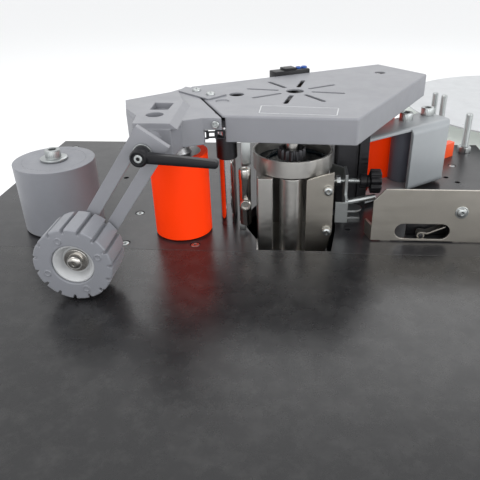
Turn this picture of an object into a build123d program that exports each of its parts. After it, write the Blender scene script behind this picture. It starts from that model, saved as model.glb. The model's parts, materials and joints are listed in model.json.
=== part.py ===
"""Bench-top edge banding machine: table, glue unit, feed rollers, chain head, tape fence and tape reel.

Everything is drawn with the table's working surface at z = 0 and lifted by TABLE_HEIGHT when it is written,
so the origin ends up on the bench, in the middle of the four bench bolts. X runs along the panel, Y to the back.
"""

from build123d import *
from math import acos, atan2, cos, degrees, hypot, pi, radians, sin
import os

# Table and base
TABLE_HEIGHT = 230.0
TABLE_WIDTH = 632.0
TABLE_DEPTH = 636.0
TABLE_THICKNESS = 12.0
SEAM_Y = -18.5
SEAM_GAP = 0.4
BASE_WIDTH = 560.0
BASE_FRONT = -265.0
BASE_BACK = 285.0
SHEET = 2.5
BASE_FLANGE = 18.0
FOOT_HEIGHT = 20.0
FOOT_RADIUS = 20.0
BENCH_BOLT_X = 240.0
BENCH_BOLT_Y = 235.0
BENCH_BOLT_RADIUS = 4.5

# Fits
RUNNING_GAP = 0.05
SEAT_GAP = 0.05
LOOSE_GAP = 0.3

# Rollers along the panel: each one touches the panel's edge line
PANEL_LINE_Y = -2.0
ROLLER_LIFT = 2.0
PRESSURE_X = -206.5
PRESSURE_RADIUS = 41.4
PRESSURE_HEIGHT = 71.0
PRESSURE_RUBBER = 9.0
PRESSURE_WASHER = 13.8
PRESSURE_HEAD = 8.0
FEED_X = -71.5
FEED_RADIUS = 29.6
FEED_HEIGHT = 86.0
FEED_RUBBER = 7.0
INFEED_HEIGHT = 90.0
SHAFT_RADIUS = 8.0
BUSH_WALL = 6.0

# Glue unit
GLUE_X = 42.4
GLUE_FRONT_Y = 25.0
GLUE_ROLLER_RADIUS = 12.5
GLUE_SHAFT_RADIUS = 6.0
POT_RADIUS = 39.5
POT_WALL = 2.5
POT_BOTTOM = -30.0
POT_TOP = 60.0
RING_RADIUS = 42.6
RING_BOTTOM = 60.5
RING_TOP = 78.0
RING_WALL = 2.0
GLUE_SLOT = 34.0
COUPLING_RADIUS = 14.0
COUPLING_TEETH = 14
POT_CUT_RADIUS = 47.5
POT_CUT_OUTLINE = (
    (-5.5, 68.0), (-5.5, 35.0), (7.5, 7.0), (9.0, -14.5), (83.5, -14.5), (91.0, 40.0), (91.0, 68.0),
)
TANK = (88.5, 117.0, 84.0, 137.0)
TANK_TOP = 97.0
TANK_FLANGE = 9.0
HEATER_RADIUS = 3.0
HEATER_Y = (98.0, 122.0)

# Head over the rollers
HEAD_BOTTOM = 106.0
HEAD_TOP = 131.0
PAD_TOP = 136.0
PAD_SLOPE = 7.0
CASTING_WALL = 6.0
COVER_WALL = 2.0
HEAD_PLATE_BOTTOM = 118.0
HEAD_PLATE_TOP = 124.8
HEAD_JOINT_GAP = 0.1
DRIVE_X = 45.0
DRIVE_Y = 150.0
COLUMN = (-24.5, 45.0)
COLUMN_RADIUS = 9.0
COLLAR_RADIUS = 10.8
COLLAR_BOTTOM = 76.0
COLLAR_TOP = 101.0
POST_RADIUS = 6.0
POSTS = ((-28.5, 82.0), (95.0, 150.0))

# Chain drive
CHAIN_PITCH = 8.0
CHAIN_ROLLER_RADIUS = 2.5
CHAIN_MIDDLE = 111.0
CHAIN_WIDTH = 8.0
CHAIN_OUTSIDE = 4.2
SPROCKET_WIDTH = 4.0
TOOTH_HEIGHT = 1.9
FEED_TEETH = 15
GLUE_TEETH = 10
DRIVE_TEETH = 12

# Hold-down wheel and its slotted arm
PIVOT_X = -77.6
PIVOT_Z = 121.2
ARM_LENGTH = 104.2
ARM_TILT = 34.9
ARM_WIDTH = 31.0
ARM_THICKNESS = 6.0
ARM_BACK_Y = -66.0
ARM_TOP = 16.2
SLOT_WIDTH = 9.0
SLOT_LENGTH = 86.0
CLAMP_STUD_RADIUS = 4.0
WHEEL_RADIUS = 33.5
WHEEL_WIDTH = 36.0
WHEEL_TEETH = 15
WHEEL_GROOVE = 3.2
WHEEL_GROOVE_DEPTH = 4.5
HUB_RADIUS = 18.3
WHEEL_AXLE_RADIUS = 5.0
LEVER_LENGTH = 63.0

# Dosing adjuster
DOSING_Y = 50.0
DOSING_Z = 49.5
SPINDLE_RADIUS = 3.0
KNOB_RADIUS = 13.0
KNOB_LOBES = 8

# Swinging fork with its pinch roller
FORK_START = (128.5, 87.0)
FORK_TURN = 37.3
FORK_LENGTH = 133.0
FORK_DEPTH = 44.0
FORK_BOTTOM = 3.0
FORK_TOP = 82.0
FORK_SHEET = 4.0
FORK_WINDOW = 66.0
FORK_BEND = 9.0
PINCH_ALONG = 86.8
PINCH_DEEP = 33.0
PINCH_RADIUS = 15.0
PINCH_BEARING_ANGLE = 149.8
TAPE_GAP = 1.1
FORK_PIVOT_ALONG = 124.0
FORK_BOLT_RADIUS = 5.0

# Tape fence
FENCE_LEFT = 124.5
FENCE_Y = 9.0
FENCE_HEIGHT = 57.5
FENCE_CHAMFER_X = 11.0
FENCE_CHAMFER_Z = 13.0
FENCE_SHEET = 2.0
FENCE_LIFT = 1.2
FENCE_FOOT = 26.0
FENCE_WINDOW_X = 175.6
FENCE_WINDOW_Z = 12.0
FENCE_WINDOW_LENGTH = 55.0
FENCE_WINDOW_HEIGHT = 17.0
CLIP_X = 175.4
CLIP_Z = 5.8
CLIP_PIN_RADIUS = 2.3

# Tape reel
REEL_RADIUS = 223.0
REEL_DISC = 2.0
REEL_TOP = 20.0
REEL_BOTTOM = -12.0
REEL_HUB_RADIUS = 50.0
REEL_PIN_RADIUS = 10.0

# Control panel on the front of the base
PANEL_LEFT = 60.0
PANEL_RIGHT = 250.0
PANEL_BOTTOM = -160.0
PANEL_TOP = -50.0
PANEL_SHEET = 3.0


def block(x0, x1, y0, y1, z0, z1):
    return Pos((x0 + x1) / 2, (y0 + y1) / 2, (z0 + z1) / 2) * Box(x1 - x0, y1 - y0, z1 - z0)


def post(x, y, z0, z1, radius):
    """Round bar standing along Z."""
    return Pos(x, y, (z0 + z1) / 2) * Cylinder(radius, z1 - z0)


def tube(x, y, z0, z1, outside, inside):
    return post(x, y, z0, z1, outside) - post(x, y, z0 - 1, z1 + 1, inside)


def bar_x(y, z, x0, x1, radius):
    """Round bar lying along X."""
    return Pos((x0 + x1) / 2, y, z) * Rot(0, 90, 0) * Cylinder(radius, x1 - x0)


def bar_y(x, z, y0, y1, radius):
    """Round bar lying along Y."""
    return Pos(x, (y0 + y1) / 2, z) * Rot(90, 0, 0) * Cylinder(radius, y1 - y0)


def prism(points, z0, z1):
    """Upright prism over a plan outline."""
    return Pos(0, 0, z0) * extrude(make_face(Polyline(*points, close=True)), z1 - z0)


def prism_y(points, y0, y1):
    """Prism over an outline in X and Z, running from y0 back to y1."""
    plane = Plane(origin=(0, y0, 0), x_dir=(1, 0, 0), z_dir=(0, -1, 0))
    face = plane * make_face(Polyline(*points, close=True))
    return extrude(face, -(y1 - y0))


def hexagon(x, y, z0, z1, across_flats):
    return Pos(x, y, z0) * extrude(RegularPolygon(across_flats / 2, 6, major_radius=False), z1 - z0)


def upright_edges(shape):
    return shape.edges().filter_by(Axis.Z)


def write(name, shape):
    """Lifts a piece from the table's working surface to its height over the bench and writes it."""
    export_step(Pos(0, 0, TABLE_HEIGHT) * shape, f"parts/{name}.step")


def pitch_radius(teeth):
    return CHAIN_PITCH / (2 * sin(pi / teeth))


def on_fork(along, deep):
    """Plan position of a point given along the fork's front face and behind it."""
    turn = radians(FORK_TURN)
    x = FORK_START[0] + along * cos(turn) - deep * sin(turn)
    y = FORK_START[1] + along * sin(turn) + deep * cos(turn)
    return x, y


# Places that follow from the sizes above
LEFT = -TABLE_WIDTH / 2
RIGHT = TABLE_WIDTH / 2
FRONT = -TABLE_DEPTH / 2
BACK = TABLE_DEPTH / 2
FLOOR = -TABLE_HEIGHT
FENCE_RIGHT = RIGHT - 16
REEL_X = RIGHT + 145.5
REEL_Y = BACK + 176
REEL_ARM_START = (RIGHT - 86, BACK - 88)
BUSH_RADIUS = SHAFT_RADIUS + BUSH_WALL
PRESSURE_Y = PANEL_LINE_Y + PRESSURE_RADIUS
FEED_Y = PANEL_LINE_Y + FEED_RADIUS
GLUE_Y = GLUE_FRONT_Y + GLUE_ROLLER_RADIUS
POT_X = GLUE_X + 0.5
POT_Y = GLUE_FRONT_Y + RING_RADIUS
PINCH_X, PINCH_Y = on_fork(PINCH_ALONG, PINCH_DEEP)
ROLLER_SPACING = FEED_RADIUS + TAPE_GAP + PINCH_RADIUS
INFEED_X = PINCH_X + ROLLER_SPACING * cos(radians(PINCH_BEARING_ANGLE))
INFEED_Y = PINCH_Y + ROLLER_SPACING * sin(radians(PINCH_BEARING_ANGLE))
FORK_PIVOT = on_fork(FORK_PIVOT_ALONG, PINCH_DEEP)
WHEEL_X = PIVOT_X - ARM_LENGTH * sin(radians(ARM_TILT))
WHEEL_Z = PIVOT_Z - ARM_LENGTH * cos(radians(ARM_TILT))
ARM_FRONT_Y = ARM_BACK_Y - ARM_THICKNESS
WHEELS = (
    (FEED_X, FEED_Y, FEED_TEETH),
    (GLUE_X, GLUE_Y, GLUE_TEETH),
    (INFEED_X, INFEED_Y, FEED_TEETH),
    (DRIVE_X, DRIVE_Y, DRIVE_TEETH),
)

# Plan outlines of the head: the casting on the left, the folded cover on the right of the joint line
JOINT_X = -21.5
COVER_OUTLINE = ((JOINT_X, 3.4), (102.5, -3.5), (200.4, 187.7), (150.1, 248.4), (-72.5, 118.6))
CASTING_OUTLINE = (
    (JOINT_X, -5.0), (-39.0, -5.0), (-57.0, -14.0), (-61.0, -40.0), (-94.0, -40.0),
    (-97.0, -16.0), (-113.0, 8.0), (-122.0, 38.0), (-74.5, 117.0),
)
PAD_OUTLINE = (
    (-61.5, -39.5), (-93.5, -39.5), (-96.5, -16.0), (-112.5, 8.0), (-121.5, 38.0), (-77.5, 78.0), (-64.0, 36.6),
)
JOINT_PLATE_OUTLINE = ((-76.0, 112.0), (-80.0, 93.0), (-43.0, 59.0), (-27.0, 79.0))
HEAD_PLATE_OUTLINE = (
    (-88.0, 8.0), (-40.0, 8.0), (88.0, 14.0), (168.0, 178.0), (146.0, 222.0), (-56.0, 104.0), (-100.0, 44.0),
)

TABLE_SCREWS = ((-130.5, 65.0), (-127.5, -6.0), (-54.5, -6.0), (RIGHT - 56.4, BACK - 88.1), (RIGHT - 26, 60.0), (LEFT + 26, 20.0),
                (LEFT + 26, BACK - 28), (RIGHT - 26, -40.0), (LEFT + 26, -40.0), (0.0, BACK - 28))
TABLE_HOLES = ((241.6, 186.5), (252.3, 170.3), (-176.3, 169.8), (103.3, 34.2))
SCREW_HEAD_RADIUS = 5.5
SCREW_HEAD_DEPTH = 3.2
SCREW_SHANK_RADIUS = 2.5
# Plan position, height, thread radius and width across the nut's flats of each stud
STUDS = ((229.0, 249.0, 94.6, 4.0, 13.0), (237.5, 236.0, 94.8, 4.0, 13.0), (290.0, BACK - 30, 56.2, 5.0, 17.0))
AXLE_BOLT_RADIUS = 8.0


def screw_set(gap):
    """The flush table screws, or with a gap the countersunk holes they sit in."""
    pieces = []
    for x, y in TABLE_SCREWS:
        bottom = -TABLE_THICKNESS + 0.2 - gap * 20
        head = post(x, y, -SCREW_HEAD_DEPTH - gap, gap, SCREW_HEAD_RADIUS + gap)
        shank = post(x, y, bottom, -SCREW_HEAD_DEPTH, SCREW_SHANK_RADIUS + gap)
        pieces.append(head + shank)
    return pieces


def rear_table_plate():
    plate = block(LEFT, RIGHT, SEAM_Y + SEAM_GAP, BACK, -TABLE_THICKNESS, 0)
    pot_cut = post(POT_X, POT_Y, -TABLE_THICKNESS - 1, 1, POT_CUT_RADIUS)
    plate -= pot_cut + prism(POT_CUT_OUTLINE, -TABLE_THICKNESS - 1, 1)
    for x, y, radius in (
        (FEED_X, FEED_Y, BUSH_RADIUS), (INFEED_X, INFEED_Y, BUSH_RADIUS), (DRIVE_X, DRIVE_Y, BUSH_RADIUS),
        (PRESSURE_X, PRESSURE_Y, AXLE_BOLT_RADIUS + SEAT_GAP), (*FORK_PIVOT, FORK_BOLT_RADIUS + SEAT_GAP),
    ):
        plate -= post(x, y, -TABLE_THICKNESS - 1, 1, radius)
    for x, y in TABLE_HOLES:
        plate -= post(x, y, -TABLE_THICKNESS - 1, 1, 3.4)
    for x, y, _, radius, _ in STUDS:
        plate -= post(x, y, -TABLE_THICKNESS - 1, 1, radius + SEAT_GAP)
    for x, y, radius in ((*COLUMN, COLUMN_RADIUS), (*POSTS[0], POST_RADIUS), (*POSTS[1], POST_RADIUS)):
        plate -= post(x, y, -8, 1, radius + SEAT_GAP)
    return plate - screw_set(SEAT_GAP)


def front_table_board():
    board = block(LEFT, RIGHT, FRONT, SEAM_Y, -TABLE_THICKNESS, 0)
    rounded = board.edges().filter_by(Axis.Z).sort_by(Axis.Y)[:2]
    return fillet(rounded, 12) - screw_set(SEAT_GAP)


def base_shell():
    half = BASE_WIDTH / 2
    bottom = FLOOR + FOOT_HEIGHT
    outside = block(-half, half, BASE_FRONT, BASE_BACK, bottom, -TABLE_THICKNESS)
    inside = block(-half + SHEET, half - SHEET, BASE_FRONT + SHEET, BASE_BACK + 1,
                   bottom - 1, -TABLE_THICKNESS - SHEET)
    top_hole = block(-half + BASE_FLANGE, half - BASE_FLANGE, BASE_FRONT + BASE_FLANGE, BASE_BACK + 1,
                     -TABLE_THICKNESS - SHEET - 1, 1)
    return outside - inside - top_hole


def rear_panel():
    half = BASE_WIDTH / 2 - SHEET - SEAT_GAP
    low = FLOOR + FOOT_HEIGHT + SHEET
    high = -TABLE_THICKNESS - SHEET - SEAT_GAP
    panel = block(-half, half, BASE_BACK - SHEET, BASE_BACK, low + SEAT_GAP, high)
    for row in range(6):
        z = low + 50 + row * 14
        panel -= block(-80, 80, BASE_BACK - SHEET - 1, BASE_BACK + 1, z, z + 4)
    return panel


def bottom_pan():
    half = BASE_WIDTH / 2 - SHEET - SEAT_GAP
    low = FLOOR + FOOT_HEIGHT
    pan = block(-half, half, BASE_FRONT + SHEET + SEAT_GAP, BASE_BACK, low, low + SHEET)
    for x in (-BENCH_BOLT_X, BENCH_BOLT_X):
        for y in (-BENCH_BOLT_Y, BENCH_BOLT_Y):
            pan -= post(x, y, low - 1, low + SHEET + 1, BENCH_BOLT_RADIUS)
    return pan


def rubber_feet():
    low = FLOOR
    return [tube(x, y, low, low + FOOT_HEIGHT, FOOT_RADIUS, BENCH_BOLT_RADIUS)
            for x in (-BENCH_BOLT_X, BENCH_BOLT_X) for y in (-BENCH_BOLT_Y, BENCH_BOLT_Y)]


def gear_motor():
    top = -TABLE_THICKNESS
    gearbox = block(DRIVE_X - 45, DRIVE_X + 45, DRIVE_Y - 38, DRIVE_Y + 60, top - 60, top)
    gearbox = fillet(upright_edges(gearbox), 8)
    motor = post(DRIVE_X, DRIVE_Y + 12, top - 165, top - 60, 43)
    fan_cap = post(DRIVE_X, DRIVE_Y + 12, top - 180, top - 165, 38)
    return gearbox + motor + fan_cap - post(DRIVE_X, DRIVE_Y, top - 50, 1, SHAFT_RADIUS + RUNNING_GAP)


def shaft_bearings():
    """Bushes for the three big shafts in the table, and for all four shafts in the head plate."""
    bushes = []
    for x, y, teeth in WHEELS:
        shaft = GLUE_SHAFT_RADIUS if teeth == GLUE_TEETH else SHAFT_RADIUS
        outside = shaft + BUSH_WALL - SEAT_GAP
        bushes.append(tube(x, y, HEAD_PLATE_BOTTOM, HEAD_PLATE_TOP, outside, shaft + RUNNING_GAP))
        if teeth != GLUE_TEETH:
            bushes.append(tube(x, y, -TABLE_THICKNESS, 0, outside, shaft + RUNNING_GAP))
    return bushes


def head_plate():
    plate = prism(HEAD_PLATE_OUTLINE, HEAD_PLATE_BOTTOM, HEAD_PLATE_TOP)
    for x, y, teeth in WHEELS:
        shaft = GLUE_SHAFT_RADIUS if teeth == GLUE_TEETH else SHAFT_RADIUS
        plate -= post(x, y, HEAD_PLATE_BOTTOM - 1, HEAD_PLATE_TOP + 1, shaft + BUSH_WALL)
    return plate


def head_posts():
    """The polished column and two plain posts that carry the head."""
    posts = [post(*COLUMN, -8, HEAD_PLATE_BOTTOM, COLUMN_RADIUS)]
    for x, y in POSTS:
        posts.append(post(x, y, -8, HEAD_PLATE_BOTTOM, POST_RADIUS))
    return posts


def post_collar():
    collar = tube(*COLUMN, COLLAR_BOTTOM, COLLAR_TOP, COLLAR_RADIUS, COLUMN_RADIUS + SEAT_GAP)
    return chamfer(collar.edges().filter_by(GeomType.CIRCLE).sort_by(Axis.Z)[0:2].sort_by(SortBy.RADIUS)[-1], 0.8)


def inset_outline(points, wall):
    return offset(make_face(Polyline(*points, close=True)), amount=-wall, kind=Kind.INTERSECTION)


def pad():
    """Raised pad on the casting, falling away to the right in a slope."""
    flat = prism(PAD_OUTLINE, HEAD_TOP - 0.5, PAD_TOP)
    foot = (*PAD_OUTLINE[:-1], (PAD_OUTLINE[-1][0] + PAD_SLOPE, PAD_OUTLINE[-1][1]))
    foot = ((foot[0][0] + PAD_SLOPE, foot[0][1]), *foot[1:])
    bottom = Pos(0, 0, HEAD_TOP - 0.5) * make_face(Polyline(*foot, close=True))
    top = Pos(0, 0, PAD_TOP) * make_face(Polyline(*PAD_OUTLINE, close=True))
    return flat + loft([bottom, top])


def head_casting():
    body = prism(CASTING_OUTLINE, HEAD_BOTTOM, HEAD_TOP) + pad()
    hollow = inset_outline(CASTING_OUTLINE, CASTING_WALL)
    body -= Pos(0, 0, HEAD_BOTTOM - 1) * extrude(hollow, HEAD_TOP - CASTING_WALL - HEAD_BOTTOM + 1)
    # The side towards the cover is open, so that the chain runs through
    joint = ((JOINT_X - HEAD_JOINT_GAP, 1.0), (-45.0, 0.9), (-90.0, 98.0), (-74.4, 118.0))
    body -= prism(joint, HEAD_BOTTOM - 1, HEAD_TOP - CASTING_WALL)
    body -= block(-38.5, JOINT_X + 1, -6.0, 3.0, HEAD_BOTTOM - 1, HEAD_TOP - 11)
    body += bar_y(PIVOT_X, PIVOT_Z, ARM_BACK_Y + LOOSE_GAP, -30.0, 8.6)
    body -= bar_y(PIVOT_X, PIVOT_Z, ARM_BACK_Y - 1, -29.0, CLAMP_STUD_RADIUS + LOOSE_GAP)
    window = ((-90.0, 29.5), (-71.5, 28.5), (-72.0, 4.0), (-89.0, 4.0))
    body -= prism(window, HEAD_TOP - 1, PAD_TOP + 1)
    body -= post(-80.6, -12.4, HEAD_TOP - 1, PAD_TOP + 1, 8.0)
    body -= post(-26.9, 12.3, HEAD_TOP - 2.0, HEAD_TOP + 1, 2.8)
    keep_out = cover_outline_block()
    return body - keep_out


def cover_outline_block():
    """The space right of the joint line, which belongs to the cover."""
    edge = JOINT_X - HEAD_JOINT_GAP
    grown = ((edge, 3.4), (edge, -8.0), (102.5, -8.0), (200.4, 187.7), (150.1, 260.0), (-72.5 - HEAD_JOINT_GAP, 119.5))
    return prism(grown, HEAD_BOTTOM - 2, HEAD_TOP + 0.01)


def cover_shell():
    body = prism(COVER_OUTLINE, HEAD_BOTTOM, HEAD_TOP)
    body = fillet(upright_edges(body), 3)
    body = fillet(body.faces().sort_by(Axis.Z)[-1].edges(), 1.8)
    hollow = inset_outline(COVER_OUTLINE, COVER_WALL)
    body -= Pos(0, 0, HEAD_BOTTOM - 1) * extrude(hollow, HEAD_TOP - COVER_WALL - HEAD_BOTTOM + 1)
    # No skirt on the side towards the casting
    open_side = ((-18.4, 2.0), (-28.4, 2.0), (-80.0, 117.0), (-68.0, 118.0))
    body -= prism(open_side, HEAD_BOTTOM - 1, HEAD_TOP - COVER_WALL)
    centre = (44.1, 99.8)
    body -= post(*centre, HEAD_TOP - 5, HEAD_TOP + 1, 9.5)
    for turn in range(8):
        slot = Pos(*centre, HEAD_TOP - 5) * Rot(0, 0, -10 + 45 * turn) * Pos(35.5, 0, 0)
        body -= slot * extrude(SlotOverall(36.0, 5.0), 8)
    body -= post(-16.9, 84.1, HEAD_TOP - 5, HEAD_TOP + 1, 8.0)
    body -= post(-28.4, 56.4, HEAD_TOP - 1.0, HEAD_TOP + 1, 7.0)
    body -= post(145.9, 195.0, HEAD_TOP - 5, HEAD_TOP + 1, 6.5)
    return body


def joint_plate():
    plate = prism(JOINT_PLATE_OUTLINE, HEAD_TOP, HEAD_TOP + 1.5)
    for x, y in ((-61.0, 93.8), (-43.5, 77.6)):
        plate -= post(x, y, HEAD_TOP - 1, HEAD_TOP + 4, 2.5 + SEAT_GAP)
    return plate


def head_screws():
    """Socket screws of the joint plate, the front block and the cover's rear edge."""
    screws = []
    for x, y in ((-61.0, 93.8), (-43.5, 77.6)):
        screw = post(x, y, HEAD_TOP + 1.5, HEAD_TOP + 4.0, 4.8) + post(x, y, HEAD_TOP, HEAD_TOP + 3, 2.5)
        screws.append(screw - hexagon(x, y, HEAD_TOP + 2.6, HEAD_TOP + 8, 4))
    front = bar_y(-27.0, 125.5, -8.0, -5.0, 4.2)
    screws.append(front - Pos(-27.0, -5.5, 125.5) * Rot(90, 0, 0) * extrude(RegularPolygon(2, 6), 4))
    screws.append(post(143.0, 193.5, HEAD_PLATE_TOP, HEAD_TOP - 1, 3.0))
    return screws


def air_valve():
    """Small black valve block with two push-in elbows on the cover's back skirt."""
    along = degrees(atan2(248.4 - 118.6, 150.1 + 72.5))
    place = Pos(37.0, 182.4, 0) * Rot(0, 0, along) * Pos(4.5, 8.2, 0)
    low = HEAD_BOTTOM + 7
    body = fillet(upright_edges(block(-24, 24, -8, 8, low, HEAD_TOP + 4.5)), 4)
    body += block(-10, 6, -7, 7, HEAD_TOP, HEAD_TOP + 7)
    for x in (12, 20):
        body += post(x, 0, HEAD_TOP, HEAD_TOP + 6.5, 3.6)
    return place * body


def belt_outline(gap):
    """Closed outline that runs round the four sprockets, a gap outside their pitch circles."""
    circles = [(x, y, pitch_radius(teeth) + gap) for x, y, teeth in WHEELS]
    normals = []
    for i, (x, y, radius) in enumerate(circles):
        next_x, next_y, next_radius = circles[(i + 1) % len(circles)]
        span = hypot(next_x - x, next_y - y)
        normals.append(atan2(next_y - y, next_x - x) - acos((radius - next_radius) / span))
    edges = []
    for i, (x, y, radius) in enumerate(circles):
        start = normals[i - 1]
        turn = (normals[i] - start) % (2 * pi)
        rim = [(x + radius * cos(a), y + radius * sin(a)) for a in (start, start + turn / 2, start + turn)]
        edges.append(ThreePointArc(*rim))
        next_x, next_y, next_radius = circles[(i + 1) % len(circles)]
        end = (next_x + next_radius * cos(normals[i]), next_y + next_radius * sin(normals[i]))
        edges.append(Line(rim[2], end))
    return make_face(Wire(edges))


def drive_chain():
    low = CHAIN_MIDDLE - CHAIN_WIDTH / 2
    ring = belt_outline(CHAIN_OUTSIDE) - belt_outline(TOOTH_HEIGHT + 0.4)
    return Pos(0, 0, low) * extrude(ring, CHAIN_WIDTH)


def sprocket(x, y, teeth, shaft):
    pitch = pitch_radius(teeth)
    low = CHAIN_MIDDLE - SPROCKET_WIDTH / 2
    wheel = post(x, y, low, low + SPROCKET_WIDTH, pitch + TOOTH_HEIGHT)
    seats = []
    for tooth in range(teeth):
        angle = 2 * pi * tooth / teeth
        seats.append(post(x + pitch * cos(angle), y + pitch * sin(angle), low - 1, low + SPROCKET_WIDTH + 1,
                          CHAIN_ROLLER_RADIUS + 0.1))
    hub = post(x, y, low, HEAD_PLATE_BOTTOM - LOOSE_GAP, shaft + 3)
    return wheel - seats + hub - post(x, y, low - 1, HEAD_PLATE_TOP, shaft + SEAT_GAP)


def driven_roller(x, y, height, radius, rubber):
    """Sleeve and core of one rubber-covered roller; the core and its shaft are one turned piece."""
    low = ROLLER_LIFT
    high = low + height
    inside = radius - rubber
    sleeve = tube(x, y, low, high, radius, inside)
    core = post(x, y, low, high, inside - SEAT_GAP)
    nose = Pos(x, y, high + 3) * Cone(14, 11, 6)
    shaft = post(x, y, -TABLE_THICKNESS - 14, HEAD_PLATE_TOP, SHAFT_RADIUS)
    return sleeve, core + nose + shaft


def pressure_roller():
    low = ROLLER_LIFT
    high = low + PRESSURE_HEIGHT
    inside = PRESSURE_RADIUS - PRESSURE_RUBBER
    sleeve = tube(PRESSURE_X, PRESSURE_Y, low, high, PRESSURE_RADIUS, inside)
    bore = AXLE_BOLT_RADIUS + RUNNING_GAP
    core = tube(PRESSURE_X, PRESSURE_Y, low, high, inside - SEAT_GAP, bore)
    return sleeve, core


def axle_bolts():
    """The pressure roller's axle screw with its washer, and the fork's pivot screw."""
    x, y = PRESSURE_X, PRESSURE_Y
    high = ROLLER_LIFT + PRESSURE_HEIGHT + LOOSE_GAP
    axle = post(x, y, -TABLE_THICKNESS, high, AXLE_BOLT_RADIUS) + post(x, y, high, high + 2.5, PRESSURE_WASHER)
    axle += post(x, y, high + 2.5, high + 11, PRESSURE_HEAD)
    axle -= hexagon(x, y, high + 6, high + 14, 8)
    x, y = FORK_PIVOT
    high = FORK_TOP + LOOSE_GAP
    pivot = post(x, y, -TABLE_THICKNESS, high, FORK_BOLT_RADIUS) + post(x, y, high, high + 9, 8.0)
    pivot += post(x, y, 0, FORK_BOTTOM - LOOSE_GAP, 11.0)
    pivot -= hexagon(x, y, high + 4, high + 10, 8)
    return [axle, pivot]


def glue_pot():
    """Round body with its open front facing the tape, closed below, with a bush for the glue roller."""
    body = post(POT_X, POT_Y, POT_BOTTOM, POT_TOP, POT_RADIUS)
    body -= post(POT_X, POT_Y, POT_BOTTOM + 4, POT_TOP + 1, POT_RADIUS - POT_WALL)
    body -= block(POT_X - GLUE_SLOT, POT_X + GLUE_SLOT + 8, GLUE_FRONT_Y - 5, POT_Y - 23, POT_BOTTOM + 4, POT_TOP + 1)
    floor_edge = block(POT_X - POT_RADIUS, POT_X + POT_RADIUS, GLUE_FRONT_Y, POT_Y - 10, POT_BOTTOM, POT_BOTTOM + 4)
    body += floor_edge
    return body - post(GLUE_X, GLUE_Y, POT_BOTTOM - 1, POT_BOTTOM + 5, GLUE_SHAFT_RADIUS + RUNNING_GAP)


def glue_ring():
    """Cup on top of the pot, open above, with the roller's neck passing through its floor."""
    cup = post(POT_X, POT_Y, RING_BOTTOM, RING_TOP, RING_RADIUS)
    cup -= post(POT_X, POT_Y, RING_BOTTOM + 3, RING_TOP + 1, RING_RADIUS - RING_WALL)
    return cup - post(GLUE_X, GLUE_Y, RING_BOTTOM - 1, RING_BOTTOM + 4, GLUE_SHAFT_RADIUS + LOOSE_GAP)


def scraper_bar():
    """Flat bar left of the glue roller, with two screws from the side."""
    right = GLUE_X - GLUE_ROLLER_RADIUS - 6.4
    bar = block(right - 15.9, right, GLUE_FRONT_Y, GLUE_FRONT_Y + 8, POT_BOTTOM + 4, POT_TOP)
    return chamfer(upright_edges(bar).sort_by(Axis.Y)[0:2], 1)


def glue_roller():
    body = post(GLUE_X, GLUE_Y, POT_BOTTOM + 4.5, POT_TOP - 1, GLUE_ROLLER_RADIUS)
    shaft = post(GLUE_X, GLUE_Y, POT_BOTTOM, HEAD_PLATE_TOP, GLUE_SHAFT_RADIUS)
    low, high = RING_TOP + 1, RING_TOP + 12
    grooves = []
    for tooth in range(COUPLING_TEETH):
        angle = 2 * pi * tooth / COUPLING_TEETH
        x, y = GLUE_X + COUPLING_RADIUS * cos(angle), GLUE_Y + COUPLING_RADIUS * sin(angle)
        grooves.append(post(x, y, low - 1, high + 1, 1.7))
    coupling = post(GLUE_X, GLUE_Y, low, high, COUPLING_RADIUS) - grooves
    neck = post(GLUE_X, GLUE_Y, RING_TOP - 8, low, GLUE_SHAFT_RADIUS + 1.5)
    return body + shaft + coupling + neck


def glue_tank():
    """Black insulated tank behind the pot, open at the top for the granulate."""
    left, right, front, back = TANK
    tank = fillet(upright_edges(block(left, right, front, back, 0, TANK_TOP)), 5)
    tank += block(right - 1, right + TANK_FLANGE, front, front + 2, 0, TANK_TOP)
    tank -= block(left + 3, right - 3, front + 3, back - 3, 14, TANK_TOP + 1)
    for y in HEATER_Y:
        tank -= bar_x(y, 7.0, left - 1, right - 1, HEATER_RADIUS + SEAT_GAP)
    return tank


def heater_cartridges():
    left, right = TANK[:2]
    return [bar_x(y, 7.0, left - 0.8, right - 2, HEATER_RADIUS) for y in HEATER_Y]


def dosing_plate():
    """Wrap plate right of the glue roller; it slides sideways to set the glue film."""
    left = GLUE_X + GLUE_ROLLER_RADIUS + 3.2
    right = left + 27.6
    front = GLUE_FRONT_Y
    low = POT_BOTTOM + 4.5
    face = ((left, low), (right - 6, low), (right, 4.0), (right, POT_TOP + 8), (left, POT_TOP - 0.8))
    plate = prism_y(face, front, front + 2.5)
    lip = block(left, left + 2.5, front, front + 12, POT_BOTTOM + 4.5, POT_TOP - 0.8)
    ear = block(right - 2.5, right, front, DOSING_Y + 6, DOSING_Z - 9, DOSING_Z + 6)
    plate = plate + lip + ear
    for z in (48.5, 2.0):
        plate += bar_y(right - 5.5, z, front - 3.5, front, 5.0)
    return plate - bar_x(DOSING_Y, DOSING_Z, right - 4, right + 1, SPINDLE_RADIUS + LOOSE_GAP)


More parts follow.
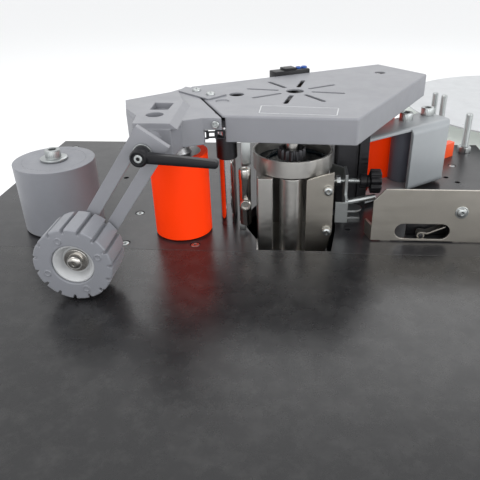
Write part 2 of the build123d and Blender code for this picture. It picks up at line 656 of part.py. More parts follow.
def dosing_bracket():
    """Angle bracket that holds the spindle, and the rod that ties it to the fence."""
    plate = block(98.5, 101.5, 32.5, 70.0, 20.0, 36.0) + block(98.5, 101.5, 44.0, 70.0, 35.0, 58.0)
    tongue = block(98.5, 108.0, 34.0, 52.0, 20.0, 22.0) + post(108.0, 43.0, 20.0, 22.0, 9.0)
    tab = block(88.5, 101.5, 30.0, 32.5, 10.0, 33.0)
    arm = prism(((98.5, 70.0), (101.5, 70.0), (88.0, 84.0), (84.5, 84.0)), 42.0, 56.0)
    foot = block(98.5, 118.0, 58.0, 70.0, 0.0, 3.0) + block(98.5, 101.5, 58.0, 70.0, 2.0, 21.0)
    body = plate + tongue + tab + arm + foot
    body -= bar_x(DOSING_Y, DOSING_Z, 97.0, 103.0, SPINDLE_RADIUS + RUNNING_GAP)
    rod = Pos(101.5, 44.0, 28.0) * Rot(0, 78, 0) * Pos(0, 0, 15) * Cylinder(3.2, 30)
    return body + (rod - block(90.0, 101.4, 30.0, 60.0, 10.0, 50.0))


def dosing_knob():
    """Star knob with its collar and spindle, turning about X."""
    spindle = bar_x(DOSING_Y, DOSING_Z, 84.5, 116.0, SPINDLE_RADIUS)
    nut = bar_x(DOSING_Y, DOSING_Z, 89.5, 94.0, 6.0)
    collar = bar_x(DOSING_Y, DOSING_Z, 114.0, 124.0, 7.5)
    star = bar_x(DOSING_Y, DOSING_Z, 124.0, 136.0, KNOB_RADIUS)
    for lobe in range(KNOB_LOBES):
        angle = 2 * pi * lobe / KNOB_LOBES
        reach = KNOB_RADIUS + 1.2
        star -= bar_x(DOSING_Y + reach * cos(angle), DOSING_Z + reach * sin(angle), 123.0, 137.0, 2.8)
    return spindle + nut + collar + star


def pot_clamp():
    """Eye bolt clamp left of the pot: upright sleeve, front screw and its angle plate."""
    sleeve = post(-5.5, 31.0, 8.0, 69.0, 6.2) - post(-5.5, 31.0, 60.0, 70.0, 3.2)
    foot = block(-12.0, -6.0, 28.0, 34.0, 0.0, 10.0)
    screw = bar_y(-4.3, 32.0, 20.5, 26.0, 6.0)
    plate = block(-9.5, 0.4, 40.0, 42.5, 64.0, 96.0) + block(-9.5, 0.4, 36.0, 42.5, 62.0, 64.5)
    stem = block(-9.5, -6.5, 36.5, 42.5, 0.0, 63.0)
    return sleeve + foot + screw + plate + stem


def arm_outline(start, end, width):
    """Obround solid between two distances below the pivot, lying along the arm."""
    length = end - start + width
    place = Pos(PIVOT_X, 0, PIVOT_Z) * Rot(0, ARM_TILT, 0) * Pos(0, 0, -(start + end) / 2)
    return place, length


def slotted_arm():
    """Flat bar with a square top end, a round end at the wheel and a long slot."""
    place, length = arm_outline(0, ARM_LENGTH, ARM_WIDTH)
    middle_y = (ARM_FRONT_Y + ARM_BACK_Y) / 2
    flat = place * Pos(0, middle_y, 0) * Rot(90, 0, 0) * Rot(0, 0, 90)
    arm = flat * extrude(SlotOverall(length, ARM_WIDTH), ARM_THICKNESS / 2, both=True)
    top = Pos(PIVOT_X, middle_y, PIVOT_Z) * Rot(0, ARM_TILT, 0) * Pos(0, 0, ARM_TOP / 2 - 5)
    arm += top * Box(ARM_WIDTH, ARM_THICKNESS, ARM_TOP + 10)
    slot_place, slot_length = arm_outline(-3.0, SLOT_LENGTH - 3.0, SLOT_WIDTH)
    flat = slot_place * Pos(0, middle_y, 0) * Rot(90, 0, 0) * Rot(0, 0, 90)
    arm -= flat * extrude(SlotOverall(slot_length, SLOT_WIDTH), ARM_THICKNESS, both=True)
    return arm - bar_y(WHEEL_X, WHEEL_Z, ARM_FRONT_Y - 1, ARM_BACK_Y + 1, WHEEL_AXLE_RADIUS + SEAT_GAP)


def arm_block():
    """Slide block in the arm's slot; the arm slides on it and it swivels on the clamp stud."""
    width = SLOT_WIDTH - 2 * RUNNING_GAP
    place = Pos(PIVOT_X, (ARM_FRONT_Y + ARM_BACK_Y) / 2, PIVOT_Z) * Rot(0, ARM_TILT, 0)
    flat = place * Rot(90, 0, 0) * Rot(0, 0, 90)
    pill = flat * extrude(SlotOverall(14.0, width), ARM_THICKNESS / 2 - 0.1, both=True)
    washer = bar_y(PIVOT_X, PIVOT_Z, ARM_FRONT_Y - 2.5, ARM_FRONT_Y - LOOSE_GAP, 8.0)
    neck = bar_y(PIVOT_X, PIVOT_Z, ARM_FRONT_Y - 1, ARM_BACK_Y - 0.1, SLOT_WIDTH / 2 - 0.2)
    bore = bar_y(PIVOT_X, PIVOT_Z, ARM_FRONT_Y - 4, ARM_BACK_Y + 1, CLAMP_STUD_RADIUS + RUNNING_GAP)
    return pill + washer + neck - bore


def clamp_lever():
    hub_back = ARM_FRONT_Y - 2.5 - LOOSE_GAP
    hub = bar_y(PIVOT_X, PIVOT_Z, hub_back - 13, hub_back, 7.4)
    stud = bar_y(PIVOT_X, PIVOT_Z, hub_back - 1, -38.0, CLAMP_STUD_RADIUS)
    y0 = hub_back - 11
    bar = prism_y(((PIVOT_X + 4, PIVOT_Z + 3.6), (PIVOT_X + LEVER_LENGTH, PIVOT_Z - 2.2),
                   (PIVOT_X + LEVER_LENGTH, PIVOT_Z - 8.6), (PIVOT_X + 4, PIVOT_Z - 5.0)), y0, y0 + 7)
    tip = bar.edges().filter_by(Axis.Y).sort_by(Axis.X)[-2:]
    return hub + stud + fillet(tip, 2)


def hold_wheel():
    back = ARM_FRONT_Y - 2.5
    front = back - WHEEL_WIDTH
    wheel = bar_y(WHEEL_X, WHEEL_Z, front, back, WHEEL_RADIUS)
    wheel -= bar_y(WHEEL_X, WHEEL_Z, front - 1, back + 1, HUB_RADIUS)
    groove = Box(WHEEL_GROOVE_DEPTH * 2, WHEEL_WIDTH + 2, WHEEL_GROOVE)
    centre = Pos(WHEEL_X, (front + back) / 2, WHEEL_Z)
    grooves = [centre * Rot(0, 360 / WHEEL_TEETH * i, 0) * Pos(WHEEL_RADIUS, 0, 0) * groove for i in range(WHEEL_TEETH)]
    return wheel - grooves


def wheel_hub():
    back = ARM_FRONT_Y - 2.5
    front = back - WHEEL_WIDTH
    hub = bar_y(WHEEL_X, WHEEL_Z, front + 2, back, HUB_RADIUS - SEAT_GAP)
    hub -= bar_y(WHEEL_X, WHEEL_Z, front, front + 10, HUB_RADIUS - 5)
    return hub - bar_y(WHEEL_X, WHEEL_Z, front - 1, back + 1, WHEEL_AXLE_RADIUS + RUNNING_GAP)


def wheel_axle():
    """Screw with a washer in the hub's recess, a shoulder against the arm and a nut behind it."""
    back = ARM_FRONT_Y - 2.5
    front = back - WHEEL_WIDTH
    axle = bar_y(WHEEL_X, WHEEL_Z, front + 5, ARM_BACK_Y + 2, WHEEL_AXLE_RADIUS)
    axle += bar_y(WHEEL_X, WHEEL_Z, front + 7.5, front + 10 - LOOSE_GAP, 8.0)
    axle += bar_y(WHEEL_X, WHEEL_Z, front + 2, front + 7.5, 5.6)
    axle += bar_y(WHEEL_X, WHEEL_Z, back + LOOSE_GAP, ARM_FRONT_Y, 8.0)
    return axle + bar_y(WHEEL_X, WHEEL_Z, ARM_BACK_Y, ARM_BACK_Y + 5, 7.5)


def fork_place():
    return Pos(*FORK_START, 0) * Rot(0, 0, FORK_TURN)


def fork_frame():
    """Folded steel fork: floor, roof, front web with its window and a closed right end."""
    body = block(0, FORK_LENGTH, 0, FORK_DEPTH, FORK_BOTTOM, FORK_TOP)
    bends = body.edges().filter_by(Axis.X).sort_by(Axis.Y)[:2]
    bends += body.edges().filter_by(Axis.Z).sort_by(Axis.Y)[:2].sort_by(Axis.X)[-1:]
    body = fillet(bends, FORK_BEND)
    inner = block(-1, FORK_LENGTH - FORK_SHEET, FORK_SHEET, FORK_DEPTH + 1,
                  FORK_BOTTOM + FORK_SHEET, FORK_TOP - FORK_SHEET)
    body -= inner
    window = block(-1, FORK_WINDOW, -1, FORK_SHEET + 0.5, FORK_BOTTOM - 1, FORK_TOP + 1)
    body -= window
    body -= prism(((-1, 10), (52, FORK_DEPTH + 0.5), (-1, FORK_DEPTH + 1)), FORK_BOTTOM - 1, FORK_TOP + 1)
    corner = ((FORK_LENGTH + 1, FORK_DEPTH - 12), (FORK_LENGTH + 1, FORK_DEPTH + 1), (FORK_LENGTH - 10, FORK_DEPTH + 1))
    body -= prism(corner, FORK_BOTTOM - 1, FORK_TOP + 1)
    body -= post(FORK_PIVOT_ALONG, PINCH_DEEP, FORK_BOTTOM - 1, FORK_TOP + 1, FORK_BOLT_RADIUS + RUNNING_GAP)
    body -= post(PINCH_ALONG, PINCH_DEEP, FORK_BOTTOM - 1, FORK_TOP + 1, FORK_BOLT_RADIUS + SEAT_GAP)
    return fork_place() * body


def pinch_bolt():
    bolt = post(PINCH_X, PINCH_Y, FORK_BOTTOM, FORK_TOP + 0.01, FORK_BOLT_RADIUS)
    bolt += post(PINCH_X, PINCH_Y, FORK_TOP, FORK_TOP + 9, 8.0)
    return bolt - hexagon(PINCH_X, PINCH_Y, FORK_TOP + 4, FORK_TOP + 10, 8)


def pinch_roller():
    low = FORK_BOTTOM + FORK_SHEET + LOOSE_GAP
    high = FORK_TOP - FORK_SHEET - LOOSE_GAP
    return tube(PINCH_X, PINCH_Y, low, high, PINCH_RADIUS, FORK_BOLT_RADIUS + RUNNING_GAP)


def tape_fence():
    """Bent stainless plate: upright face with a window, a foot behind it and a folded left end."""
    z1 = FENCE_HEIGHT
    z0 = FENCE_LIFT
    face = prism_y(((FENCE_LEFT, z0), (FENCE_RIGHT, z0), (FENCE_RIGHT, z1), (FENCE_LEFT + FENCE_CHAMFER_X, z1),
                    (FENCE_LEFT, z1 - FENCE_CHAMFER_Z)), FENCE_Y, FENCE_Y + FENCE_SHEET)
    front, back = FENCE_Y + 1, FENCE_Y + FENCE_FOOT
    foot = block(FENCE_LEFT + 10, FENCE_WINDOW_X - 31, front, back, 0, FENCE_SHEET)
    foot += block(FENCE_WINDOW_X + 32, FENCE_RIGHT, front, back, 0, FENCE_SHEET)
    fold = prism(((FENCE_LEFT, FENCE_Y), (FENCE_LEFT + 2.6, FENCE_Y + 1), (FENCE_LEFT - 3, FENCE_Y + 18),
                  (FENCE_LEFT - 5, FENCE_Y + 17)), z0, 17)
    centre = Pos(FENCE_WINDOW_X, FENCE_Y, FENCE_WINDOW_Z) * Rot(90, 0, 0)
    window = centre * extrude(SlotOverall(FENCE_WINDOW_LENGTH, FENCE_WINDOW_HEIGHT), 4, both=True)
    return face + foot + fold - window


def fence_hardware():
    """Round-head screw in the fence and the clip's pin, which stands in a block behind the window."""
    screw = bar_y(211.5, 34.0, FENCE_Y - 3.0, FENCE_Y, 6.5)
    front, back = FENCE_Y + FENCE_SHEET, FENCE_Y + 18
    left, right = FENCE_WINDOW_X - 13, FENCE_WINDOW_X + 31.5
    housing = block(left, right, front, back, 0, 27) - block(left - 1, right - 3, front - 1, back - 3, -1, 24)
    pin = bar_y(CLIP_X, CLIP_Z, FENCE_Y + 1.0, back - 1, CLIP_PIN_RADIUS)
    return [screw, housing + pin]


def spring_clip():
    """Leaf curled round the pin, with its arm reaching right."""
    y0, y1 = FENCE_Y + 3, FENCE_Y + 12
    eye = bar_y(CLIP_X, CLIP_Z, y0, y1, 3.8)
    arm = prism_y(((CLIP_X + 1.5, CLIP_Z + 2.2), (CLIP_X + 6, CLIP_Z + 1.6), (CLIP_X + 9, CLIP_Z + 2.6),
                   (CLIP_X + 23.6, CLIP_Z + 9.4), (CLIP_X + 23.6, CLIP_Z + 10.8), (CLIP_X + 8.6, CLIP_Z + 4.0),
                   (CLIP_X + 5.8, CLIP_Z + 3.0), (CLIP_X + 1, CLIP_Z + 3.8)), y0, y1)
    return eye + arm - bar_y(CLIP_X, CLIP_Z, y0 - 1, y1 + 1, CLIP_PIN_RADIUS + RUNNING_GAP)


def guide_studs():
    """Threaded studs in the table, each with its hexagon nut."""
    studs = []
    for x, y, high, radius, flats in STUDS:
        studs.append(post(x, y, -TABLE_THICKNESS, high, radius) + hexagon(x, y, 0, 0.5 * flats, flats))
    return studs


def edge_block():
    """Orange plastic guide block behind the fork."""
    body = prism(((250.0, 252.0), (271.0, 271.0), (264.0, 279.0), (243.0, 260.0)), 0.0, 20.0)
    return fillet(upright_edges(body), 2)


def reel_arm():
    """Flat bar from under the table's back right corner to the reel, with the spindle standing on it."""
    start_x, start_y = REEL_ARM_START
    turn = degrees(atan2(REEL_Y - start_y, REEL_X - start_x))
    reach = hypot(REEL_X - start_x, REEL_Y - start_y)
    low = -TABLE_THICKNESS - 10
    bar = Pos(start_x, start_y, 0) * Rot(0, 0, turn) * block(0, reach + 20, -18, 18, low, -TABLE_THICKNESS)
    bar -= block(-BASE_WIDTH, BASE_WIDTH / 2 + 0.5, -BASE_WIDTH, BASE_BACK + 0.5, low - 1, 0)
    side = BASE_WIDTH / 2 + 0.5
    flange = block(side, side + 8, BASE_BACK - 45, BASE_BACK + 0.5, low - 30, -TABLE_THICKNESS)
    pin = post(REEL_X, REEL_Y, -TABLE_THICKNESS - 5, REEL_TOP + 14, REEL_PIN_RADIUS)
    seat = post(REEL_X, REEL_Y, low, REEL_BOTTOM - LOOSE_GAP, 22)
    return bar + flange + pin + seat


def tape_reel():
    low, high = REEL_BOTTOM, REEL_TOP
    reel = post(REEL_X, REEL_Y, low, low + REEL_DISC, REEL_RADIUS)
    reel += post(REEL_X, REEL_Y, high - REEL_DISC, high, REEL_RADIUS)
    reel += post(REEL_X, REEL_Y, low, high, REEL_HUB_RADIUS)
    return reel - post(REEL_X, REEL_Y, low - 1, high + 1, REEL_PIN_RADIUS + RUNNING_GAP)


def control_panel():
    front = BASE_FRONT - PANEL_SHEET
    panel = block(PANEL_LEFT, PANEL_RIGHT, front, BASE_FRONT, PANEL_BOTTOM, PANEL_TOP)
    panel = fillet(panel.edges().filter_by(Axis.Y), 6)
    return panel


def push_piece(x, z, head_radius, head_length, stem_radius):
    """Round control with its stem in a fixed collar; it points to the front."""
    front = BASE_FRONT - PANEL_SHEET
    collar = bar_y(x, z, front - 6, front, head_radius + 3)
    collar -= bar_y(x, z, front - 7, front + 1, stem_radius + RUNNING_GAP)
    head = bar_y(x, z, front - 10 - head_length, front - 10, head_radius)
    return collar, head + bar_y(x, z, front - 10, front - 0.5 - 4, stem_radius)


def temperature_controller():
    front = BASE_FRONT - PANEL_SHEET
    return block(80.0, 128.0, front - 8, front, -128.0, -80.0)


def mains_inlet():
    back = BASE_BACK
    body = block(-250.0, -200.0, back, back + 12, -180.0, -150.0)
    return body - block(-243.0, -207.0, back + 3, back + 13, -176.0, -154.0)


def main():
    os.makedirs("parts", exist_ok=True)
    feed_sleeve, feed_core = driven_roller(FEED_X, FEED_Y, FEED_HEIGHT, FEED_RADIUS, FEED_RUBBER)
    infeed_sleeve, infeed_core = driven_roller(INFEED_X, INFEED_Y, INFEED_HEIGHT, FEED_RADIUS, FEED_RUBBER)
    pressure_sleeve, pressure_core = pressure_roller()
    stop_collar, emergency_stop = push_piece(215.0, -95.0, 16.0, 9.0, 6.0)
    start_collar, start_button = push_piece(160.0, -105.0, 9.0, 4.0, 5.0)
    pieces = {
        "rear_table_plate": rear_table_plate(),
        "front_table_board": front_table_board(),
        "base_shell": base_shell(),
        "rear_panel": rear_panel(),
        "bottom_pan": bottom_pan(),
        "rubber_feet": Compound(rubber_feet()),
        "machine_screws": Compound(screw_set(0) + head_screws()),
        "gear_motor": gear_motor(),
        "control_panel": Compound([control_panel(), stop_collar, start_collar]),
        "emergency_stop": emergency_stop,
        "start_button": start_button,
        "temperature_controller": temperature_controller(),
        "mains_inlet": mains_inlet(),
        "shaft_bearings": Compound(shaft_bearings()),
        "head_plate": head_plate(),
        "head_posts": Compound(head_posts()),
        "post_collar": post_collar(),
        "head_casting": head_casting(),
        "cover_shell": cover_shell(),
        "joint_plate": joint_plate(),
        "air_valve": air_valve(),
        "drive_chain": drive_chain(),
        "drive_shaft": post(DRIVE_X, DRIVE_Y, -TABLE_THICKNESS - 45, HEAD_PLATE_TOP, SHAFT_RADIUS),
        "drive_sprocket": sprocket(DRIVE_X, DRIVE_Y, DRIVE_TEETH, SHAFT_RADIUS),
        "feed_roller_sleeve": feed_sleeve,
        "feed_roller_core": feed_core,
        "feed_sprocket": sprocket(FEED_X, FEED_Y, FEED_TEETH, SHAFT_RADIUS),
        "infeed_roller_sleeve": infeed_sleeve,
        "infeed_roller_core": infeed_core,
        "infeed_sprocket": sprocket(INFEED_X, INFEED_Y, FEED_TEETH, SHAFT_RADIUS),
        "pressure_roller_sleeve": pressure_sleeve,
        "pressure_roller_core": pressure_core,
        "axle_bolts": Compound(axle_bolts()),
        "glue_pot": glue_pot(),
        "glue_ring": glue_ring(),
        "scraper_bar": scraper_bar(),
        "glue_roller": glue_roller(),
        "glue_sprocket": sprocket(GLUE_X, GLUE_Y, GLUE_TEETH, GLUE_SHAFT_RADIUS),
        "glue_tank": glue_tank(),
        "heater_cartridges": Compound(heater_cartridges()),
        "dosing_plate": dosing_plate(),
        "dosing_bracket": dosing_bracket(),
        "dosing_knob": dosing_knob(),
        "pot_clamp": pot_clamp(),
        "slotted_arm": slotted_arm(),
        "arm_block": arm_block(),
        "clamp_lever": clamp_lever(),
        "hold_wheel": hold_wheel(),
        "wheel_hub": wheel_hub(),
        "wheel_axle": wheel_axle(),
        "fork_frame": fork_frame(),
        "pinch_bolt": pinch_bolt(),
        "pinch_roller": pinch_roller(),
        "tape_fence": tape_fence(),
        "fence_hardware": Compound(fence_hardware()),
        "spring_clip": spring_clip(),
        "guide_studs": Compound(guide_studs()),
        "edge_block": edge_block(),
        "reel_arm": reel_arm(),
        "tape_reel": tape_reel(),
    }
    for name, shape in pieces.items():
        write(name, shape)


main()
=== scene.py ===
"""Looks of the bench-top edge banding machine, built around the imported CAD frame."""

import json
from math import acos, atan2, cos, hypot, pi, radians, sin

import bmesh
import bpy
from mathutils import Matrix, Vector


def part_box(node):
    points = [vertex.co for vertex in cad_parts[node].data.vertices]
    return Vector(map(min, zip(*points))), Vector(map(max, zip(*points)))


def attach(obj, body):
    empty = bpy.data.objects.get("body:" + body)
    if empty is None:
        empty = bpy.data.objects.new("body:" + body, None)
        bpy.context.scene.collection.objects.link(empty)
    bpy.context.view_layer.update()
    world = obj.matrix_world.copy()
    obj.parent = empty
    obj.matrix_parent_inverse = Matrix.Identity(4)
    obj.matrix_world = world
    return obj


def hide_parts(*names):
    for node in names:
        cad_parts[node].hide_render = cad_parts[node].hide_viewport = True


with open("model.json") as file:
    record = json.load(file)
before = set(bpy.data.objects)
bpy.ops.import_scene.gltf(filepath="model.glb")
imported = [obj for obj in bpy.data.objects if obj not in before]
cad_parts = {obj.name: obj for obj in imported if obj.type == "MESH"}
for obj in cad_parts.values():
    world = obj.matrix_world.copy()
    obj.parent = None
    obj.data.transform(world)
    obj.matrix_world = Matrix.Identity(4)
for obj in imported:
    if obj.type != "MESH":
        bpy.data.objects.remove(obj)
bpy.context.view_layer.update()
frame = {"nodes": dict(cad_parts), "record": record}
NODES = frame["nodes"]
MM = 0.001

# Camera: where it stands, how it is turned, and its lens
CAMERA_PLACE = (0.0475, -0.488, 0.500)
CAMERA_PITCH = 28.59
CAMERA_TURN = 3.81
CAMERA_ROLL = -0.65
CAMERA_LENS = 40.85
CAMERA_SHIFT = -0.0485

SHARP_ANGLE = 35                  # edges bent more than this stay sharp in the shading
DENT_SHARE = "share"              # vertex layer that holds each row's share of an outline's dents
FLOOR_HALF = 12
CHAIN_PITCH = 8 * MM
DUST = (0.55, 0.54, 0.52)

# Fork frame: its front left corner, its turn in plan, and its pivot screw along and across it
FORK_CORNER = Vector((0.1285, 0.087))
FORK_TURN = 37.3
FORK_PIVOT = Vector((0.124, 0.033))


# ---------------------------------------------------------------- stage, light and camera

def make_camera():
    data = bpy.data.cameras.new("camera")
    data.lens = CAMERA_LENS
    data.sensor_width = 36
    data.shift_x = CAMERA_SHIFT
    data.clip_start = 0.01
    camera = bpy.data.objects.new("camera", data)
    turn = Matrix.Rotation(radians(CAMERA_TURN), 4, "Z") @ Matrix.Rotation(radians(90 - CAMERA_PITCH), 4, "X")
    roll = Matrix.Rotation(radians(CAMERA_ROLL), 4, "Z")
    camera.matrix_world = Matrix.Translation(CAMERA_PLACE) @ turn @ roll
    bpy.context.collection.objects.link(camera)
    bpy.context.scene.camera = camera


def area_light(name, place, target, size, power, tint=(1, 1, 1)):
    data = bpy.data.lights.new(name, "AREA")
    data.shape = "RECTANGLE"
    data.size, data.size_y = size
    data.energy = power
    data.color = tint
    light = bpy.data.objects.new(name, data)
    light.visible_camera = False
    light.location = place
    light.rotation_euler = (Vector(target) - Vector(place)).to_track_quat("-Z", "Y").to_euler()
    bpy.context.collection.objects.link(light)


def make_stage():
    world = bpy.data.worlds.new("studio")
    world.use_nodes = True
    sky = world.node_tree.nodes["Background"]
    sky.inputs["Color"].default_value = (0.99, 0.995, 1.0, 1)
    sky.inputs["Strength"].default_value = 1.0
    bpy.context.scene.world = world
    area_light("key_light", (-0.9, -0.5, 1.9), (0, 0.1, 0.3), (1.4, 1.0), 12)
    area_light("front_light", (0.2, -1.7, 0.75), (0.0, 0.1, 0.28), (2.4, 0.7), 11)
    area_light("fill_light", (1.6, -0.5, 0.9), (0.1, 0.1, 0.3), (1.0, 0.8), 10)
    area_light("back_light", (0.2, 1.9, 1.7), (0, 0.2, 0.3), (2.2, 0.8), 8)
    bm = bmesh.new()
    bmesh.ops.create_grid(bm, x_segments=1, y_segments=1, size=FLOOR_HALF)
    floor = mesh_object("floor", bm)
    floor.data.materials.append(principled("pale_floor", (0.90, 0.905, 0.91), 0.65)[0])
    bpy.context.scene.view_settings.view_transform = "Standard"


def mesh_object(name, bm):
    """Turns a finished bmesh into an object standing at the origin."""
    share = bm.verts.layers.float.get(DENT_SHARE)
    if share is not None:
        bm.verts.layers.float.remove(share)
    mesh = bpy.data.meshes.new(name)
    bm.to_mesh(mesh)
    bm.free()
    piece = bpy.data.objects.new(name, mesh)
    bpy.context.collection.objects.link(piece)
    return piece


# ---------------------------------------------------------------- shared surface effects

def new_group(name, inputs, outputs):
    """Empty shader node group; each input is (name, kind, default)."""
    group = bpy.data.node_groups.new(name, "ShaderNodeTree")
    for label, kind, default in inputs:
        socket = group.interface.new_socket(label, in_out="INPUT", socket_type=kind)
        socket.default_value = default
    for label, kind in outputs:
        group.interface.new_socket(label, in_out="OUTPUT", socket_type=kind)
    return group, group.nodes.new("NodeGroupInput"), group.nodes.new("NodeGroupOutput")


def add_noise(tree, vector, scale, detail=4.0, rough=0.55):
    noise = tree.nodes.new("ShaderNodeTexNoise")
    noise.inputs["Detail"].default_value = detail
    noise.inputs["Roughness"].default_value = rough
    tree.links.new(vector, noise.inputs["Vector"])
    if isinstance(scale, (int, float)):
        noise.inputs["Scale"].default_value = scale
    else:
        tree.links.new(scale, noise.inputs["Scale"])
    return noise.outputs["Fac"]


def add_math(tree, operation, first, second=None, clamp=False):
    node = tree.nodes.new("ShaderNodeMath")
    node.operation = operation
    node.use_clamp = clamp
    for socket, value in zip(node.inputs, (first, second)):
        if isinstance(value, (int, float)):
            socket.default_value = value
        elif value is not None:
            tree.links.new(value, socket)
    return node.outputs["Value"]


def add_range(tree, value, low_in, high_in, low_out, high_out):
    node = tree.nodes.new("ShaderNodeMapRange")
    for label, item in (("Value", value), ("From Min", low_in), ("From Max", high_in),
                        ("To Min", low_out), ("To Max", high_out)):
        if isinstance(item, (int, float)):
            node.inputs[label].default_value = item
        else:
            tree.links.new(item, node.inputs[label])
    return node.outputs["Result"]


def mottling_group():
    """Slow, cloudy change of a value between two limits."""
    group, inside, outside = new_group(
        "mottling",
        (("Scale", "NodeSocketFloat", 20.0), ("Low", "NodeSocketFloat", 0.0),
         ("High", "NodeSocketFloat", 1.0)),
        (("Value", "NodeSocketFloat"),),
    )
    place = group.nodes.new("ShaderNodeTexCoord").outputs["Object"]
    cloud = add_noise(group, place, inside.outputs["Scale"], 5.0, 0.6)
    value = add_range(group, cloud, 0.3, 0.7, inside.outputs["Low"], inside.outputs["High"])
    group.links.new(value, outside.inputs["Value"])
    return group


def edge_wear_group():
    """Mask of the outer edges, broken up by a noise."""
    group, inside, outside = new_group(
        "edge_wear",
        (("Radius", "NodeSocketFloat", 0.001), ("Gain", "NodeSocketFloat", 4.0)),
        (("Mask", "NodeSocketFloat"),),
    )
    bevel = group.nodes.new("ShaderNodeBevel")
    bevel.samples = 4
    group.links.new(inside.outputs["Radius"], bevel.inputs["Radius"])
    geometry = group.nodes.new("ShaderNodeNewGeometry")
    dot = group.nodes.new("ShaderNodeVectorMath")
    dot.operation = "DOT_PRODUCT"
    group.links.new(bevel.outputs["Normal"], dot.inputs[0])
    group.links.new(geometry.outputs["Normal"], dot.inputs[1])
    bend = add_math(group, "SUBTRACT", 1.0, dot.outputs["Value"])
    place = group.nodes.new("ShaderNodeTexCoord").outputs["Object"]
    breaks = add_range(group, add_noise(group, place, 90.0), 0.35, 0.65, 0.0, 1.0)
    worn = add_math(group, "MULTIPLY", bend, inside.outputs["Gain"])
    group.links.new(add_math(group, "MULTIPLY", worn, breaks, clamp=True), outside.inputs["Mask"])
    return group


def grain_group():
    """Fine texture of paint, rubber or cast metal as a height."""
    group, inside, outside = new_group(
        "grain",
        (("Scale", "NodeSocketFloat", 900.0), ("Coarse", "NodeSocketFloat", 0.3)),
        (("Height", "NodeSocketFloat"),),
    )
    place = group.nodes.new("ShaderNodeTexCoord").outputs["Object"]
    fine = add_noise(group, place, inside.outputs["Scale"], 2.0, 0.5)
    broad_scale = add_math(group, "MULTIPLY", inside.outputs["Scale"], 0.15)
    broad = add_noise(group, place, broad_scale, 3.0, 0.5)
    broad = add_math(group, "MULTIPLY", broad, inside.outputs["Coarse"])
    group.links.new(add_math(group, "ADD", fine, broad), outside.inputs["Height"])
    return group


def brushing_group():
    """Long thin scratches along the direction that Stretch leaves short."""
    group, inside, outside = new_group(
        "brushing",
        (("Stretch", "NodeSocketVector", (20.0, 800.0, 800.0)), ("Low", "NodeSocketFloat", 0.0),
         ("High", "NodeSocketFloat", 1.0)),
        (("Height", "NodeSocketFloat"), ("Value", "NodeSocketFloat")),
    )
    place = group.nodes.new("ShaderNodeTexCoord").outputs["Object"]
    stretch = group.nodes.new("ShaderNodeVectorMath")
    stretch.operation = "MULTIPLY"
    group.links.new(place, stretch.inputs[0])
    group.links.new(inside.outputs["Stretch"], stretch.inputs[1])
    lines = add_noise(group, stretch.outputs["Vector"], 1.0, 3.0, 0.65)
    group.links.new(lines, outside.inputs["Height"])
    value = add_range(group, lines, 0.3, 0.7, inside.outputs["Low"], inside.outputs["High"])
    group.links.new(value, outside.inputs["Value"])
    return group


def dust_group():
    """Light dust that lies on faces looking up."""
    group, inside, outside = new_group(
        "dust",
        (("Amount", "NodeSocketFloat", 0.2), ("Scale", "NodeSocketFloat", 60.0)),
        (("Mask", "NodeSocketFloat"),),
    )
    geometry = group.nodes.new("ShaderNodeNewGeometry")
    parts = group.nodes.new("ShaderNodeSeparateXYZ")
    group.links.new(geometry.outputs["Normal"], parts.inputs["Vector"])
    up = add_range(group, parts.outputs["Z"], 0.6, 1.0, 0.0, 1.0)
    place = group.nodes.new("ShaderNodeTexCoord").outputs["Object"]
    patches = add_range(group, add_noise(group, place, inside.outputs["Scale"], 8.0, 0.75), 0.45, 0.75, 0.0,
                        1.0)
    mask = add_math(group, "MULTIPLY", up, patches)
    group.links.new(add_math(group, "MULTIPLY", mask, inside.outputs["Amount"], clamp=True),
                    outside.inputs["Mask"])
    return group


GROUPS = {
    "mottling": mottling_group(),
    "edge_wear": edge_wear_group(),
    "grain": grain_group(),
    "brushing": brushing_group(),
    "dust": dust_group(),
}


# ---------------------------------------------------------------- materials

def principled(name, colour, roughness, metallic=0.0):
    material = bpy.data.materials.new(name)
    material.use_nodes = True
    shader = material.node_tree.nodes["Principled BSDF"]
    shader.inputs["Base Color"].default_value = (*colour, 1)
    shader.inputs["Roughness"].default_value = roughness
    shader.inputs["Metallic"].default_value = metallic
    return material, shader


def place_group(tree, name, **values):
    node = tree.nodes.new("ShaderNodeGroup")
    node.node_tree = GROUPS[name]
    for label, value in values.items():
        node.inputs[label].default_value = value
    return node.outputs


def blend_colours(tree, factor, first, second):
    mix = tree.nodes.new("ShaderNodeMix")
    mix.data_type = "RGBA"
    tree.links.new(factor, mix.inputs["Factor"])
    for label, value in (("A", first), ("B", second)):
        socket = next(s for s in mix.inputs if s.name == label and s.type == "RGBA")
        if isinstance(value, tuple):
            socket.default_value = (*value, 1)
        else:
            tree.links.new(value, socket)
    return next(s for s in mix.outputs if s.type == "RGBA")


def round_edges(tree, shader, radius, height=None, strength=0.1, distance=0.0002):
    """Softens the edges in the shading and lays a height on top."""
    bevel = tree.nodes.new("ShaderNodeBevel")
    bevel.samples = 6
    bevel.inputs["Radius"].default_value = radius
    normal = bevel.outputs["Normal"]
    if height is not None:
        bump = tree.nodes.new("ShaderNodeBump")
        bump.inputs["Strength"].default_value = strength
        bump.inputs["Distance"].default_value = distance
        tree.links.new(height, bump.inputs["Height"])
        tree.links.new(normal, bump.inputs["Normal"])
        normal = bump.outputs["Normal"]
    tree.links.new(normal, shader.inputs["Normal"])


